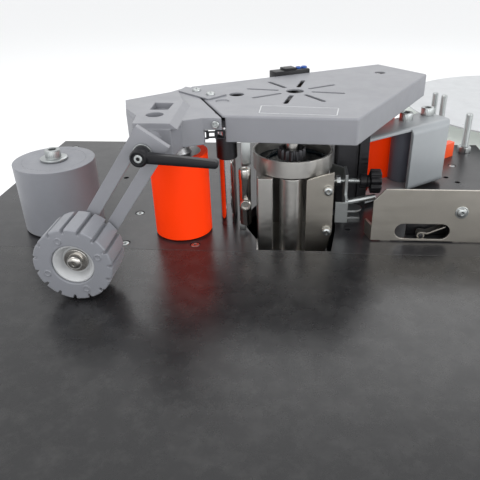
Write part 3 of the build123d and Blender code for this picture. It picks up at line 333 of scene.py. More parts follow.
def paint(name, colour, roughness=0.42, worn=(0.62, 0.62, 0.62), wear=2.5, edge=0.0012, grain=700.0,
          bump=0.12,
          coat=0.0, dust=0.15, metallic=0.0):
    """Sprayed paint or powder coat: cloudy tone, fine orange peel, lighter worn edges and some dust."""
    material, shader = principled(name, colour, roughness, metallic)
    tree = material.node_tree
    shader.inputs["Coat Weight"].default_value = coat
    shader.inputs["Coat Roughness"].default_value = 0.2
    darker = tuple(c * 0.93 for c in colour)
    lighter = tuple(min(1.0, c * 1.05) for c in colour)
    tone = place_group(tree, "mottling", Scale=14.0)["Value"]
    base = blend_colours(tree, tone, darker, lighter)
    mask = place_group(tree, "edge_wear", Radius=edge, Gain=wear)["Mask"]
    base = blend_colours(tree, mask, base, worn)
    film = place_group(tree, "dust", Amount=dust)["Mask"]
    base = blend_colours(tree, film, base, (0.60, 0.59, 0.57))
    tree.links.new(base, shader.inputs["Base Color"])
    rough = place_group(tree, "mottling", Scale=35.0, Low=roughness * 0.88, High=roughness * 1.15)["Value"]
    tree.links.new(rough, shader.inputs["Roughness"])
    height = place_group(tree, "grain", Scale=grain)["Height"]
    round_edges(tree, shader, edge, height, bump)
    return material


def metal(name, colour, roughness=0.3, stretch=(60.0, 60.0, 900.0), edge=0.0006, lines=0.12, spread=0.35,
          stain=0.85):
    """Bare metal with brushing marks and slightly uneven polish."""
    material, shader = principled(name, colour, roughness, 1.0)
    tree = material.node_tree
    tone = place_group(tree, "mottling", Scale=40.0)["Value"]
    base = blend_colours(tree, tone, tuple(c * stain for c in colour), colour)
    mask = place_group(tree, "edge_wear", Radius=edge, Gain=3.0)["Mask"]
    bright = tuple(min(1.0, c * 1.25) for c in colour)
    tree.links.new(blend_colours(tree, mask, base, bright), shader.inputs["Base Color"])
    marks = place_group(tree, "brushing", Stretch=stretch, Low=roughness * (1 - spread),
                        High=roughness * (1 + spread))
    tree.links.new(marks["Value"], shader.inputs["Roughness"])
    round_edges(tree, shader, edge, marks["Height"], lines)
    return material


def rubber(name, colour, roughness=0.55, grain=500.0, edge=0.0012, bump=0.15, sheen=0.15, dust=0.2, tint=0.9,
           painted_glow=0.0,
           gloss=0.5):
    """Moulded or ground rubber: matt, slightly cloudy; painted_glow is painted light, an emission that makes
    the rubber brighter than the lamps make it.
    """
    material, shader = principled(name, colour, roughness)
    shader.inputs["Specular IOR Level"].default_value = gloss
    tree = material.node_tree
    # painted light: emission in the rubber's own colour, set by the glow argument
    shader.inputs["Emission Color"].default_value = (*colour, 1)
    shader.inputs["Emission Strength"].default_value = painted_glow
    shader.inputs["Sheen Weight"].default_value = sheen
    shader.inputs["Sheen Roughness"].default_value = 0.4
    tone = place_group(tree, "mottling", Scale=25.0)["Value"]
    base = blend_colours(tree, tone, tuple(c * tint for c in colour), colour)
    film = place_group(tree, "dust", Amount=dust, Scale=90.0)["Mask"]
    base = blend_colours(tree, film, base, DUST)
    tree.links.new(base, shader.inputs["Base Color"])
    rough = place_group(tree, "mottling", Scale=60.0, Low=roughness * 0.9,
                        High=min(1.0, roughness * 1.2))["Value"]
    tree.links.new(rough, shader.inputs["Roughness"])
    height = place_group(tree, "grain", Scale=grain, Coarse=0.6)["Height"]
    round_edges(tree, shader, edge, height, bump)
    return material


def plastic(name, colour, roughness=0.35, edge=0.0008, bump=0.05, dust=0.12, coat=0.0, gloss=0.5):
    """Moulded plastic with a faint grain and a little dust."""
    material, shader = principled(name, colour, roughness)
    shader.inputs["Specular IOR Level"].default_value = gloss
    tree = material.node_tree
    shader.inputs["Coat Weight"].default_value = coat
    shader.inputs["Coat Roughness"].default_value = 0.15
    tone = place_group(tree, "mottling", Scale=45.0)["Value"]
    base = blend_colours(tree, tone, tuple(c * 0.9 for c in colour), colour)
    film = place_group(tree, "dust", Amount=dust, Scale=110.0)["Mask"]
    tree.links.new(blend_colours(tree, film, base, DUST), shader.inputs["Base Color"])
    rough = place_group(tree, "mottling", Scale=70.0, Low=roughness * 0.85, High=roughness * 1.2)["Value"]
    tree.links.new(rough, shader.inputs["Roughness"])
    height = place_group(tree, "grain", Scale=1400.0, Coarse=0.4)["Height"]
    round_edges(tree, shader, edge, height, bump)
    return material


MATERIALS = {
    "black_table": paint("table_black", (0.016, 0.016, 0.018), 0.30, (0.20, 0.20, 0.20), 1.5, 0.0006, 1800.0,
                         0.10,
                         dust=0.03),
    "black_board": paint("board_black", (0.014, 0.014, 0.015), 0.27, (0.16, 0.16, 0.16), 1.5, 0.0006, 2200.0,
                         0.08,
                         dust=0.03),
    "grey_paint": paint("silver_grey_paint", (0.208, 0.212, 0.232), 0.42, (0.36, 0.37, 0.39), 1.2, 0.0014,
                        1500.0, 0.04,
                        coat=0.1, dust=0.03),
    "light_grey_paint": paint("light_grey_paint", (0.27, 0.29, 0.305), 0.36, (0.42, 0.44, 0.45), 1.3, 0.0016,
                              1500.0,
                              0.04, coat=0.15, dust=0.03),
    "body_paint": paint("body_powder_coat", (0.30, 0.32, 0.35), 0.5, (0.45, 0.46, 0.47), 1.5, 0.0015, 420.0,
                        0.25),
    "grey_rubber": rubber("grey_rubber", (0.205, 0.212, 0.235), 0.5, dust=0.05),
    "dark_grey_rubber": rubber("dark_grey_rubber", (0.115, 0.125, 0.155), 0.42),
    # the orange rubber carries a painted glow that brightens its fronts
    "orange_rubber": rubber("orange_rubber", (0.94, 0.042, 0.0015), 0.5, sheen=0.0, dust=0.0, tint=0.97,
                            bump=0.03,
                            painted_glow=0.2, gloss=0.15),
    "orange_plastic": plastic("orange_plastic", (0.88, 0.09, 0.015), 0.4),
    "black_plastic": plastic("black_plastic", (0.008, 0.008, 0.010), 0.34, dust=0.01, gloss=0.22),
    "black_steel": metal("blackened_steel", (0.06, 0.06, 0.065), 0.42),
    "white_nylon": plastic("white_nylon", (0.46, 0.47, 0.48), 0.4, dust=0.0),
    "pale_disc": plastic("pale_disc_plastic", (0.50, 0.515, 0.53), 0.32, dust=0.03),
    "steel": metal("turned_steel", (0.60, 0.59, 0.565), 0.36, (120.0, 120.0, 260.0), lines=0.03, spread=0.15,
                   stain=0.88),
    "stainless": metal("stainless_sheet", (0.47, 0.445, 0.40), 0.38, (30.0, 400.0, 400.0), lines=0.03,
                       spread=0.12, stain=0.9),
    "zinc": metal("zinc_plate", (0.42, 0.44, 0.44), 0.34, (200.0, 200.0, 200.0), lines=0.02, spread=0.15,
                  stain=0.92),
    "chrome_steel": metal("polished_chrome", (0.78, 0.78, 0.80), 0.07, (120.0, 120.0, 900.0), lines=0.01),
    "nickel": metal("nickel_plate", (0.52, 0.50, 0.47), 0.2, (150.0, 150.0, 150.0), lines=0.02),
    "aluminium_core": metal("turned_aluminium", (0.55, 0.56, 0.57), 0.42, (260.0, 260.0, 60.0), lines=0.03,
                            spread=0.12, stain=0.93),
    "bronze": metal("sintered_bronze", (0.52, 0.36, 0.18), 0.45),
    "red_plastic": plastic("red_plastic", (0.60, 0.012, 0.010), 0.25, coat=0.4),
    "green_plastic": plastic("green_plastic", (0.03, 0.30, 0.06), 0.28, coat=0.3),
}


# ---------------------------------------------------------------- shapes

def middle(node):
    low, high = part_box(node)
    return (Vector(low) + Vector(high)) / 2


def linked(elements, kind):
    """Mesh elements that the given ones meet, each once and in a fixed order."""
    return list(dict.fromkeys(item for element in elements for item in getattr(element, kind)))


def spun_profile(bm, rows, segments, outline, joined):
    """Spins a profile once round Z and presses the outline's dents into it; joined closes it on itself."""
    share = bm.verts.layers.float.get(DENT_SHARE) or bm.verts.layers.float.new(DENT_SHARE)
    before = set(bm.verts)
    profile = []
    for radius, height, *dents in rows:
        point = bm.verts.new((radius, 0, height))
        point[share] = dents[0] if dents else 0.0
        profile.append(point)
    ends = profile[1:] + profile[:1] if joined else profile[1:]
    line = [bm.edges.new(pair) for pair in zip(profile, ends)]
    bmesh.ops.spin(bm, geom=profile + line, cent=(0, 0, 0), axis=(0, 0, 1), dvec=(0, 0, 0), angle=2 * pi,
                   steps=segments, use_merge=True)
    points = [point for point in bm.verts if point not in before]
    for point in points:
        if outline and point[share]:
            angle = atan2(point.co.y, point.co.x) % (2 * pi)
            shrink = 1 - point[share] * outline(angle) / hypot(point.co.x, point.co.y)
            point.co.x *= shrink
            point.co.y *= shrink
    return points


def turned(bm, rows, segments=48, place=Matrix(), outline=None, closed=True):
    """Turned shape about Z: each row is (radius, height) or (radius, height, share of the outline's dents).

    outline(angle) gives the dent in metres at that angle; closed fills both ends.
    """
    points = spun_profile(bm, rows, segments, outline, joined=False)
    if closed:
        rims = [edge for edge in linked(points, "link_edges") if edge.is_boundary]
        bmesh.ops.edgeloop_fill(bm, edges=rims)
    bmesh.ops.recalc_face_normals(bm, faces=linked(points, "link_faces"))
    bmesh.ops.transform(bm, matrix=place, verts=points)


def ring_shape(bm, rows, segments=48, place=Matrix(), outline=None):
    """Turned ring: the rows run round its section and close on themselves."""
    points = spun_profile(bm, rows, segments, outline, joined=True)
    bmesh.ops.recalc_face_normals(bm, faces=linked(points, "link_faces"))
    bmesh.ops.transform(bm, matrix=place, verts=points)


def plate_shape(bm, outline, low, high, bevel=0.0, place=Matrix()):
    """Flat plate over a plan outline, with its rims bevelled."""
    points = [bm.verts.new(Vector((x, y, low))) for x, y in outline]
    face = bm.faces.new(points)
    lifted = bmesh.ops.extrude_face_region(bm, geom=[face])["geom"]
    upper = [item for item in lifted if isinstance(item, bmesh.types.BMVert)]
    bmesh.ops.translate(bm, verts=upper, vec=(0, 0, high - low))
    corners = points + upper
    bmesh.ops.recalc_face_normals(bm, faces=linked(corners, "link_faces"))
    if bevel:
        made = bmesh.ops.bevel(bm, geom=linked(corners, "link_edges"), offset=bevel, offset_type="OFFSET",
                               segments=2, profile=0.5,
                               affect="EDGES", material=-1, clamp_overlap=True)
        corners = linked(made["faces"], "verts")
    bmesh.ops.transform(bm, matrix=place, verts=corners)


def box_shape(bm, low, high, bevel=0.0, place=Matrix()):
    (x0, y0, z0), (x1, y1, z1) = low, high
    plate_shape(bm, ((x0, y0), (x1, y0), (x1, y1), (x0, y1)), z0, z1, bevel, place)


def add_piece(name, bm, slot, body, replaced=(), smooth=True, material=None):
    """Finished piece: paint, smooth shading, its body and the nodes it stands for."""
    piece = mesh_object(name, bm)
    piece.data.materials.append(material or MATERIALS[slot])
    if smooth:
        piece.data.shade_smooth()
        piece.data.set_sharp_from_angle(angle=radians(SHARP_ANGLE))
    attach(piece, body)
    if replaced:
        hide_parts(*replaced)
    return piece


def along_x(place):
    """Frame at a place whose Z axis runs along X."""
    return Matrix.Translation(place) @ Matrix.Rotation(radians(90), 4, "Y")


def along_front(place):
    """Frame at a place whose Z axis runs to the front."""
    return Matrix.Translation(place) @ Matrix.Rotation(radians(90), 4, "X")


def hexagon_dent(flats):
    """Outline that turns a circle of the hexagon's corner radius into the hexagon."""
    corner = flats / 2 / cos(pi / 6)

    def dent(angle):
        part = (angle + pi / 6) % (pi / 3) - pi / 6
        return corner - flats / 2 / cos(part)
    return dent


def lobes(count, depth, sharp=1.0):
    def dent(angle):
        return depth * abs(cos(count * angle / 2)) ** sharp
    return dent


# ---------------------------------------------------------------- pieces

def cap_screw(bm, place, radius, high, flats, depth, knurls=30):
    """Socket head: knurled side, chamfered rim and a hexagon recess."""
    turned(bm, ((radius, 0.0, 1.0), (radius, high - 0.8 * MM, 1.0), (radius - 0.7 * MM, high),
                (flats * 0.70, high)), 120, place, lobes(knurls, 0.25 * MM), closed=False)
    turned(bm,
           ((flats * 0.70, high), (flats / 1.732, high - 0.1 * MM, 1.0), (flats / 1.732, high - depth, 1.0),
                (flats * 0.1, high - depth - 0.6 * MM)), 120, place, hexagon_dent(flats), closed=False)


def hexagon_nut(bm, place, flats, high):
    corner = flats / 1.732
    turned(bm, ((corner * 0.88, 0.0), (corner, 0.8 * MM, 1.0), (corner, high - 0.8 * MM, 1.0),
                (corner * 0.87, high)),
           72, place, hexagon_dent(flats))


def threaded_rod(bm, place, radius, high, pitch):
    rows = []
    for turn in range(int(high / pitch)):
        rows += [(radius - 0.55 * pitch, turn * pitch), (radius, (turn + 0.5) * pitch)]
    turned(bm, (*rows, (radius - pitch, high)), 20, place)


def make_hold_down_wheel():
    low, high = (Vector(c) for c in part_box("hold_wheel"))
    centre = (low + high) / 2
    radius, inside = (high.z - low.z) / 2, (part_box("wheel_hub")[1][0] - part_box("wheel_hub")[0][0]) / 2
    width = high.y - low.y
    teeth, groove, depth = 15, 2.5 * MM, 3.4 * MM

    def dent(angle):
        part = ((angle * teeth / (2 * pi) + 0.5) % 1 - 0.5) * 2 * pi / teeth
        gap = abs(part) * radius
        return depth * max(0.0, min(1.0, (groove / 2 + 0.5 * MM - gap) / (0.7 * MM)))

    place = along_front((centre.x, high.y, centre.z))
    rim = 0.9 * MM
    bm = bmesh.new()
    ring_shape(bm, ((inside, 0), (radius - rim, 0, 1), (radius, rim, 1), (radius, width - rim, 1),
                    (radius - rim, width, 1), (inside + 0.6 * MM, width), (inside, width - 0.6 * MM)), 600,
                    place, dent)
    for step in range(4):
        spot = Matrix.Rotation(radians(20 + 90 * step), 4,
                               "Z") @ Matrix.Translation((0.72 * radius, 0, width))
        ring_shape(bm, ((1.9 * MM, -0.3 * MM), (3.2 * MM, -0.3 * MM), (2.9 * MM, 0.5 * MM),
                        (2.3 * MM, 0.6 * MM)), 28,
                   place @ spot)
    add_piece("toothed_hold_down_wheel", bm, "grey_rubber", "hold_down_wheel", ("hold_wheel",))

    low, high = (Vector(c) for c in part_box("wheel_hub"))
    width = high.y - low.y
    place = along_front((centre.x, high.y, centre.z))
    bore = 5.1 * MM
    bm = bmesh.new()
    ring_shape(bm, ((bore, 0), (inside - 0.1 * MM, 0), (inside - 0.1 * MM, width - 0.6 * MM),
                    (inside - 0.8 * MM, width), (inside - 1.8 * MM, width),
                    (inside - 2.6 * MM, width - 1.0 * MM),
                    (12.4 * MM, width - 7.4 * MM), (12.0 * MM, width - 8.3 * MM), (bore, width - 8.3 * MM)),
                    96, place)
    add_piece("white_wheel_hub", bm, "white_nylon", "hold_down_wheel", ("wheel_hub",))

    bm = bmesh.new()
    low, high = (Vector(c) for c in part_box("wheel_axle"))
    front = high.y - low.y
    place = along_front((centre.x, high.y, centre.z))
    turned(bm, ((4.9 * MM, 0.2 * MM), (4.9 * MM, front - 3 * MM)), 40, place)
    turned(bm, ((10.0 * MM, front - 8 * MM), (10.4 * MM, front - 7.7 * MM), (10.4 * MM, front - 6.3 * MM),
                (10.0 * MM, front - 6.0 * MM), (6.6 * MM, front - 5.9 * MM)), 48, place)
    turned(bm, ((6.6 * MM, front - 6 * MM), (6.6 * MM, front - 2.6 * MM), (5.8 * MM, front - 1.2 * MM),
                (4.0 * MM, front - 0.3 * MM), (2.6 * MM, front - 0.1 * MM)), 48, place, closed=False)
    recess = lobes(2, 1.9 * MM, 0.35)
    turned(bm,
           ((2.6 * MM, front - 0.1 * MM), (2.55 * MM, front - 0.2 * MM, 1), (2.4 * MM, front - 2.4 * MM, 1),
                (0.2 * MM, front - 3.0 * MM)), 64, place, recess, closed=False)
    hexagon_nut(bm, place @ Matrix.Translation((0, 0, 2 * MM)), 13 * MM, 5 * MM)
    turned(bm, ((8.0 * MM, 13.1 * MM), (8.0 * MM, 15.2 * MM)), 40, place)
    add_piece("wheel_screw_and_washer", bm, "nickel", "hold_down_arm", ("wheel_axle",))


def make_clamp_lever():
    low, high = (Vector(c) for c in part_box("clamp_lever"))
    pivot = middle("arm_block")
    front = low.y
    place = along_front((pivot.x, front + 13 * MM, pivot.z))
    bm = bmesh.new()
    turned(bm, ((6.6 * MM, 0), (7.3 * MM, 0.8 * MM), (7.3 * MM, 3.0 * MM), (6.8 * MM, 3.4 * MM),
                (6.8 * MM, 4.0 * MM),
                (7.3 * MM, 4.4 * MM), (7.3 * MM, 11.2 * MM), (6.4 * MM, 12.6 * MM), (5.4 * MM, 12.9 * MM),
                (4.9 * MM, 12.0 * MM), (3.4 * MM, 12.0 * MM)), 64, place)
    turned(bm, ((3.9 * MM, -32 * MM), (3.9 * MM, 1 * MM)), 32, place)
    reach = high.x - pivot.x
    outline = ((3 * MM, 3.9 * MM), (reach * 0.5, 1.2 * MM), (reach - 2 * MM, -2.0 * MM), (reach, -3.4 * MM),
               (reach, -6.8 * MM), (reach - 2 * MM, -8.3 * MM), (reach * 0.5, -6.4 * MM), (3 * MM, -4.6 * MM))
    plate_shape(bm, outline, 3.8 * MM, 11.0 * MM, 1.1 * MM, place)
    add_piece("clamping_lever", bm, "black_plastic", "clamp_handle", ("clamp_lever",))
    bm = bmesh.new()
    turned(bm, ((3.5 * MM, 11 * MM), (3.5 * MM, 12.4 * MM), (3.0 * MM, 12.8 * MM), (1.6 * MM, 12.8 * MM),
                (1.5 * MM, 11.6 * MM)), 40, place)
    add_piece("lever_centre_screw", bm, "zinc", "clamp_handle")


def make_star_knob():
    low, high = (Vector(c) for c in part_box("dosing_knob"))
    centre = middle("dosing_knob")
    radius = (high.z - low.z) / 2
    place = along_x((low.x, centre.y, centre.z))
    reach = high.x - low.x
    bm = bmesh.new()
    start = reach - 12 * MM
    turned(bm, ((radius - 4 * MM, start), (radius, start + 1 * MM, 1), (radius, reach - 1.4 * MM, 1),
                (radius - 1.2 * MM, reach - 0.2 * MM, 0.8), (radius - 5 * MM, reach), (4.5 * MM, reach),
                (4.0 * MM, reach - 1.5 * MM)), 256, place, lobes(8, 2.6 * MM, 4.0))
    turned(bm, ((6.6 * MM, start - 10 * MM), (7.4 * MM, start - 9.2 * MM), (7.4 * MM, start - 3 * MM),
                (6.4 * MM, start - 2.2 * MM), (6.4 * MM, start + 0.5 * MM)), 64, place, lobes(16, 0.3 * MM))
    add_piece("star_knob", bm, "black_plastic", "dosing_screw", ("dosing_knob",))
    bm = bmesh.new()
    threaded_rod(bm, place, 3.0 * MM, start - 9 * MM, 0.8 * MM)
    hexagon_nut(bm, place @ Matrix.Translation((0, 0, 5 * MM)), 10 * MM, 4.5 * MM)
    add_piece("dosing_spindle", bm, "zinc", "dosing_screw")


def make_pot_clamp():
    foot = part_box("pot_clamp")[0][2]
    bm = bmesh.new()
    turned(bm, ((5.6 * MM, 7 * MM), (6.2 * MM, 8.2 * MM), (6.2 * MM, 58 * MM), (6.5 * MM, 59 * MM),
                (6.5 * MM, 67.5 * MM), (5.9 * MM, 69 * MM), (3.6 * MM, 69 * MM), (3.2 * MM, 68 * MM),
                (3.2 * MM, 60 * MM)), 56, Matrix.Translation((-5.5 * MM, 31 * MM, foot)))
    place = along_front((-4.3 * MM, 26 * MM, foot + 32 * MM))
    turned(bm, ((5.2 * MM, 0), (6.0 * MM, 0.8 * MM), (6.0 * MM, 4.4 * MM), (5.2 * MM, 5.5 * MM),
                (3.4 * MM, 5.5 * MM),
                (3.2 * MM, 4.2 * MM)), 48, place)
    add_piece("eye_bolt_sleeve", bm, "nickel", "machine_frame", ("pot_clamp",))
    bm = bmesh.new()
    face = ((-9.5 * MM, 64 * MM), (0.4 * MM, 70 * MM), (0.4 * MM, 96 * MM), (-9.5 * MM, 96 * MM))
    place = Matrix.Translation((0, 42.5 * MM, foot)) @ Matrix.Rotation(radians(90), 4, "X")
    plate_shape(bm, face, 0, 2.5 * MM, 0.3 * MM, place)
    box_shape(bm, (-9.5 * MM, 36.5 * MM, foot), (-6.5 * MM, 42.5 * MM, foot + 65 * MM), 0.3 * MM)
    box_shape(bm, (-12 * MM, 28 * MM, foot), (-6 * MM, 34 * MM, foot + 10 * MM), 0.6 * MM)
    add_piece("clamp_angle_plate", bm, "zinc", "machine_frame")


def make_studs():
    bm = bmesh.new()
    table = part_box("rear_table_plate")[1][2]
    for x, y, top, radius, flats in ((229.0, 249.0, 94.6, 4.0, 13.0), (237.5, 236.0, 94.8, 4.0, 13.0),
                                     (290.0, 288.0, 56.2, 5.0, 17.0)):
        place = Matrix.Translation((x * MM, y * MM, table))
        threaded_rod(bm, place, radius * MM, top * MM, 1.25 * MM)
        hexagon_nut(bm, place, flats * MM, 0.5 * flats * MM)
        turned(bm, ((radius * MM, -12 * MM), (radius * MM, 0.1 * MM)), 24, place)
    add_piece("threaded_studs", bm, "zinc", "machine_frame", ("guide_studs",))


def make_axle_screws():
    centre = middle("pressure_roller_core")
    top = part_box("pressure_roller_core")[1][2] + 0.3 * MM
    bm = bmesh.new()
    place = Matrix.Translation((centre.x, centre.y, top))
    turned(bm, ((13.2 * MM, 0), (13.8 * MM, 0.5 * MM), (13.8 * MM, 2.1 * MM), (13.2 * MM, 2.5 * MM),
                (8 * MM, 2.5 * MM)),
           72, place)
    cap_screw(bm, place @ Matrix.Translation((0, 0, 2.5 * MM)), 8 * MM, 8.5 * MM, 8 * MM, 5 * MM)
    turned(bm, ((7.9 * MM, -85 * MM), (7.9 * MM, 0)), 32, place)
    pivot = FORK_CORNER + Matrix.Rotation(radians(FORK_TURN), 2) @ FORK_PIVOT
    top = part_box("fork_frame")[1][2] + 0.3 * MM
    place = Matrix.Translation((*pivot, top))
    cap_screw(bm, place, 8 * MM, 9 * MM, 8 * MM, 5 * MM)
    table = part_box("rear_table_plate")[1][2]
    turned(bm, ((5 * MM, table - 12 * MM - top), (5 * MM, 0)), 32, place)
    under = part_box("fork_frame")[0][2] - 0.3 * MM
    turned(bm, ((11 * MM, table - top), (11 * MM, under - top)), 48, place)
    add_piece("roller_and_fork_screws", bm, "zinc", "machine_frame", ("axle_bolts",))
    centre = middle("pinch_bolt")
    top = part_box("fork_frame")[1][2]
    bm = bmesh.new()
    place = Matrix.Translation((centre.x, centre.y, top))
    cap_screw(bm, place, 8 * MM, 9 * MM, 8 * MM, 5 * MM)
    turned(bm, ((4.9 * MM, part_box("pinch_bolt")[0][2] - top), (4.9 * MM, 0)), 32, place)
    add_piece("pinch_roller_screw", bm, "zinc", "fork", ("pinch_bolt",))


def make_air_valve():
    """Black air valve behind the cover, with its two blue rings."""
    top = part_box("cover_shell")[1][2]
    bm = bmesh.new()
    centre = middle("air_valve")
    place = Matrix.Translation((centre.x, centre.y, 0)) @ Matrix.Rotation(radians(30.2), 4, "Z")
    box_shape(bm, (-24 * MM, -8 * MM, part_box("air_valve")[0][2]), (24 * MM, 8 * MM, top + 4.5 * MM), 1.2 * MM,
              place)
    box_shape(bm, (-10 * MM, -7 * MM, top + 4 * MM), (6 * MM, 7 * MM, top + 7 * MM), 0.8 * MM, place)
    add_piece("valve_block", bm, "black_plastic", "machine_frame", ("air_valve",))
    bm = bmesh.new()
    for x in (12 * MM, 20 * MM):
        spot = place @ Matrix.Translation((x, 0, top + 4.5 * MM))
        ring_shape(bm, ((2.2 * MM, 0), (3.5 * MM, 0), (3.5 * MM, 1.5 * MM), (3.2 * MM, 1.9 * MM),
                        (2.2 * MM, 1.9 * MM)),
                   32, spot)
    add_piece("blue_push_rings", bm, "", "machine_frame",
              material=plastic("blue_plastic", (0.02, 0.09, 0.38), 0.35))


def cross_recess(bm, place, radius, top):
    """Domed screw head with a cross recess."""
    turned(bm, ((radius, 0), (radius, top * 0.35), (radius * 0.86, top * 0.8), (radius * 0.5, top)), 48,
           place, closed=False)
    slots = lobes(2, radius * 0.34, 0.35)
    turned(bm, ((radius * 0.5, top), (radius * 0.48, top - 0.15 * MM, 1), (radius * 0.42, top * 0.25, 1),
                (radius * 0.05, top * 0.1)), 48, place, slots, closed=False)


def make_machine_screws():
    """Flush table screws in dark seats, pan heads on the joint plate and the block's front screw."""
    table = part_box("rear_table_plate")[1][2]
    low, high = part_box("rear_table_plate")
    screws, seats = bmesh.new(), bmesh.new()
    spots = ((-0.1305, 0.065), (-0.1275, -0.006), (-0.0545, -0.006), (high[0] - 0.0564, high[1] - 0.0881),
             (high[0] - 0.026, 0.060), (low[0] + 0.026, 0.020), (low[0] + 0.026, high[1] - 0.028),
             (high[0] - 0.026, -0.040), (low[0] + 0.026, -0.040), (0.0, high[1] - 0.028))
    for x, y in spots:
        place = Matrix.Translation((x, y, table - 3.1 * MM))
        turned(screws, ((2.4 * MM, -8 * MM), (2.4 * MM, 0), (2.6 * MM, 0.5 * MM), (4.2 * MM, 2.4 * MM),
                        (4.2 * MM, 2.8 * MM), (3.9 * MM, 3.0 * MM), (1.75 * MM, 3.0 * MM)), 36, place,
                        closed=False)
        turned(screws, ((1.75 * MM, 3.0 * MM), (1.73 * MM, 2.9 * MM, 1), (1.73 * MM, 0.6 * MM, 1),
                        (0.2 * MM, 0.2 * MM)),
               36, place, hexagon_dent(3.0 * MM), closed=False)
        ring_shape(seats, ((4.3 * MM, 0.2 * MM), (5.5 * MM, 0.2 * MM), (5.5 * MM, 2.9 * MM),
                           (4.3 * MM, 2.3 * MM)), 36, place)
    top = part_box("joint_plate")[1][2]
    for x, y in ((-0.061, 0.0938), (-0.0435, 0.0776)):
        cross_recess(screws, Matrix.Translation((x, y, top)), 4.8 * MM, 2.4 * MM)
    front = along_front((-0.027, -0.005, table + 0.1255))
    turned(screws, ((3.5 * MM, 0), (3.5 * MM, 2.4 * MM), (3.0 * MM, 3 * MM), (2.0 * MM, 3 * MM),
                    (1.9 * MM, 0.5 * MM)),
           40, front)
    turned(screws, ((3 * MM, 0), (3 * MM, 4.5 * MM)), 24, Matrix.Translation((0.143, 0.1935, table + 0.1255)))
    add_piece("machine_screw_heads", screws, "zinc", "machine_frame", ("machine_screws",))
    add_piece("screw_seats", seats, "black_plastic", "machine_frame")


def make_glue_roller():
    """Steel roller and shaft, the dark toothed coupling, and the old glue that lies in the ring."""
    low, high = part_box("glue_roller")
    centre = middle("glue_sprocket")
    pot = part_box("glue_ring")
    place = Matrix.Translation((centre.x, centre.y, 0))
    top = pot[0][2] - 1.5 * MM
    bm = bmesh.new()
    turned(bm, ((12.0 * MM, low[2] + 4.5 * MM), (12.5 * MM, low[2] + 5.0 * MM), (12.5 * MM, top - 0.5 * MM),
                (12.0 * MM, top)), 96, place)
    turned(bm, ((5.6 * MM, low[2]), (6 * MM, low[2] + 0.5 * MM), (6 * MM, high[2] - 0.6 * MM),
                (5.5 * MM, high[2])),
           48, place)
    turned(bm, ((7.5 * MM, pot[1][2] - 8 * MM), (7.5 * MM, pot[1][2] + 1.5 * MM)), 48, place)
    add_piece("glue_application_roller", bm, "steel", "glue_unit", ("glue_roller",))
    start = pot[1][2] + 1 * MM
    bm = bmesh.new()
    turned(bm, ((6.2 * MM, start), (13.4 * MM, start, 0.8), (14 * MM, start + 0.7 * MM, 1),
                (14 * MM, start + 10 * MM, 1),
                (13.2 * MM, start + 11 * MM, 0.8), (9.5 * MM, start + 11 * MM), (9 * MM, start + 10 * MM),
                (6.2 * MM, start + 10 * MM)), 280, place, lobes(14, 1.7 * MM, 3.0))
    add_piece("roller_coupling", bm, "black_steel", "glue_unit")
    floor = pot[0][2] + 3 * MM
    middle_of_ring = middle("glue_ring")
    bm = bmesh.new()
    ring_shape(bm,
               ((8.5 * MM, floor - 0.5 * MM), (40.2 * MM, floor - 0.5 * MM), (40.2 * MM, floor + 2.0 * MM),
                    (36 * MM, floor + 0.9 * MM), (24 * MM, floor + 0.6 * MM), (8.5 * MM, floor + 0.5 * MM)),
                    96,
               Matrix.Translation((middle_of_ring.x, middle_of_ring.y, 0)))
    glue = plastic("dark_hot_melt_glue", (0.012, 0.022, 0.030), 0.2, dust=0.0, bump=0.4)
    add_piece("glue_left_in_ring", bm, "", "machine_frame", material=glue)
    bm = bmesh.new()
    for step in range(70):
        angle, reach = step * 2.39996, (17 + 21 * ((step * 0.618) % 1)) * MM
        spot = Matrix.Translation((middle_of_ring.x + reach * cos(angle),
                                   middle_of_ring.y + reach * sin(angle),
                                   floor + (1.2 + 0.6 * (step % 3)) * MM))
        turned(bm, ((0.9 * MM, -1.4 * MM), (2.0 * MM, -0.4 * MM), (1.9 * MM, 0.5 * MM), (1.0 * MM, 1.3 * MM)),
               12, spot)
    add_piece("glue_granules", bm, "", "machine_frame", material=glue)


def make_fence_parts():
    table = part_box("rear_table_plate")[1][2]
    face = 9 * MM
    bm = bmesh.new()
    screw = along_front((0.2115, face, table + 34 * MM))
    ring_shape(bm, ((4.0 * MM, 0), (6.5 * MM, 0), (6.5 * MM, 0.6 * MM), (6.1 * MM, 0.9 * MM),
                    (4.0 * MM, 0.9 * MM)),
               48, screw)
    cross_recess(bm, screw @ Matrix.Translation((0, 0, 0.6 * MM)), 4.9 * MM, 2.4 * MM)
    add_piece("fence_screw", bm, "zinc", "machine_frame", ("fence_hardware",))
    # Black box behind the fence window: the clip's housing, and its black also stands in as painted shade seen
    # through the window.
    bm = bmesh.new()
    left, right = 0.1756 - 13 * MM, 0.1756 + 31.5 * MM
    back = face + 18 * MM
    box_shape(bm, (left, back - 3 * MM, table), (right, back, table + 27 * MM), 0.4 * MM)
    box_shape(bm, (left, face + 2.1 * MM, table + 24 * MM), (right, back, table + 27 * MM), 0.4 * MM)
    box_shape(bm, (right - 3 * MM, face + 2.1 * MM, table), (right, back, table + 27 * MM), 0.4 * MM)
    pin = along_front((0.1754, back - 1 * MM, table + 5.8 * MM))
    turned(bm, ((2.3 * MM, 0), (2.3 * MM, 15.4 * MM), (1.8 * MM, 16 * MM)), 32, pin)
    add_piece("clip_housing_and_window_shade", bm, "black_steel", "machine_frame")


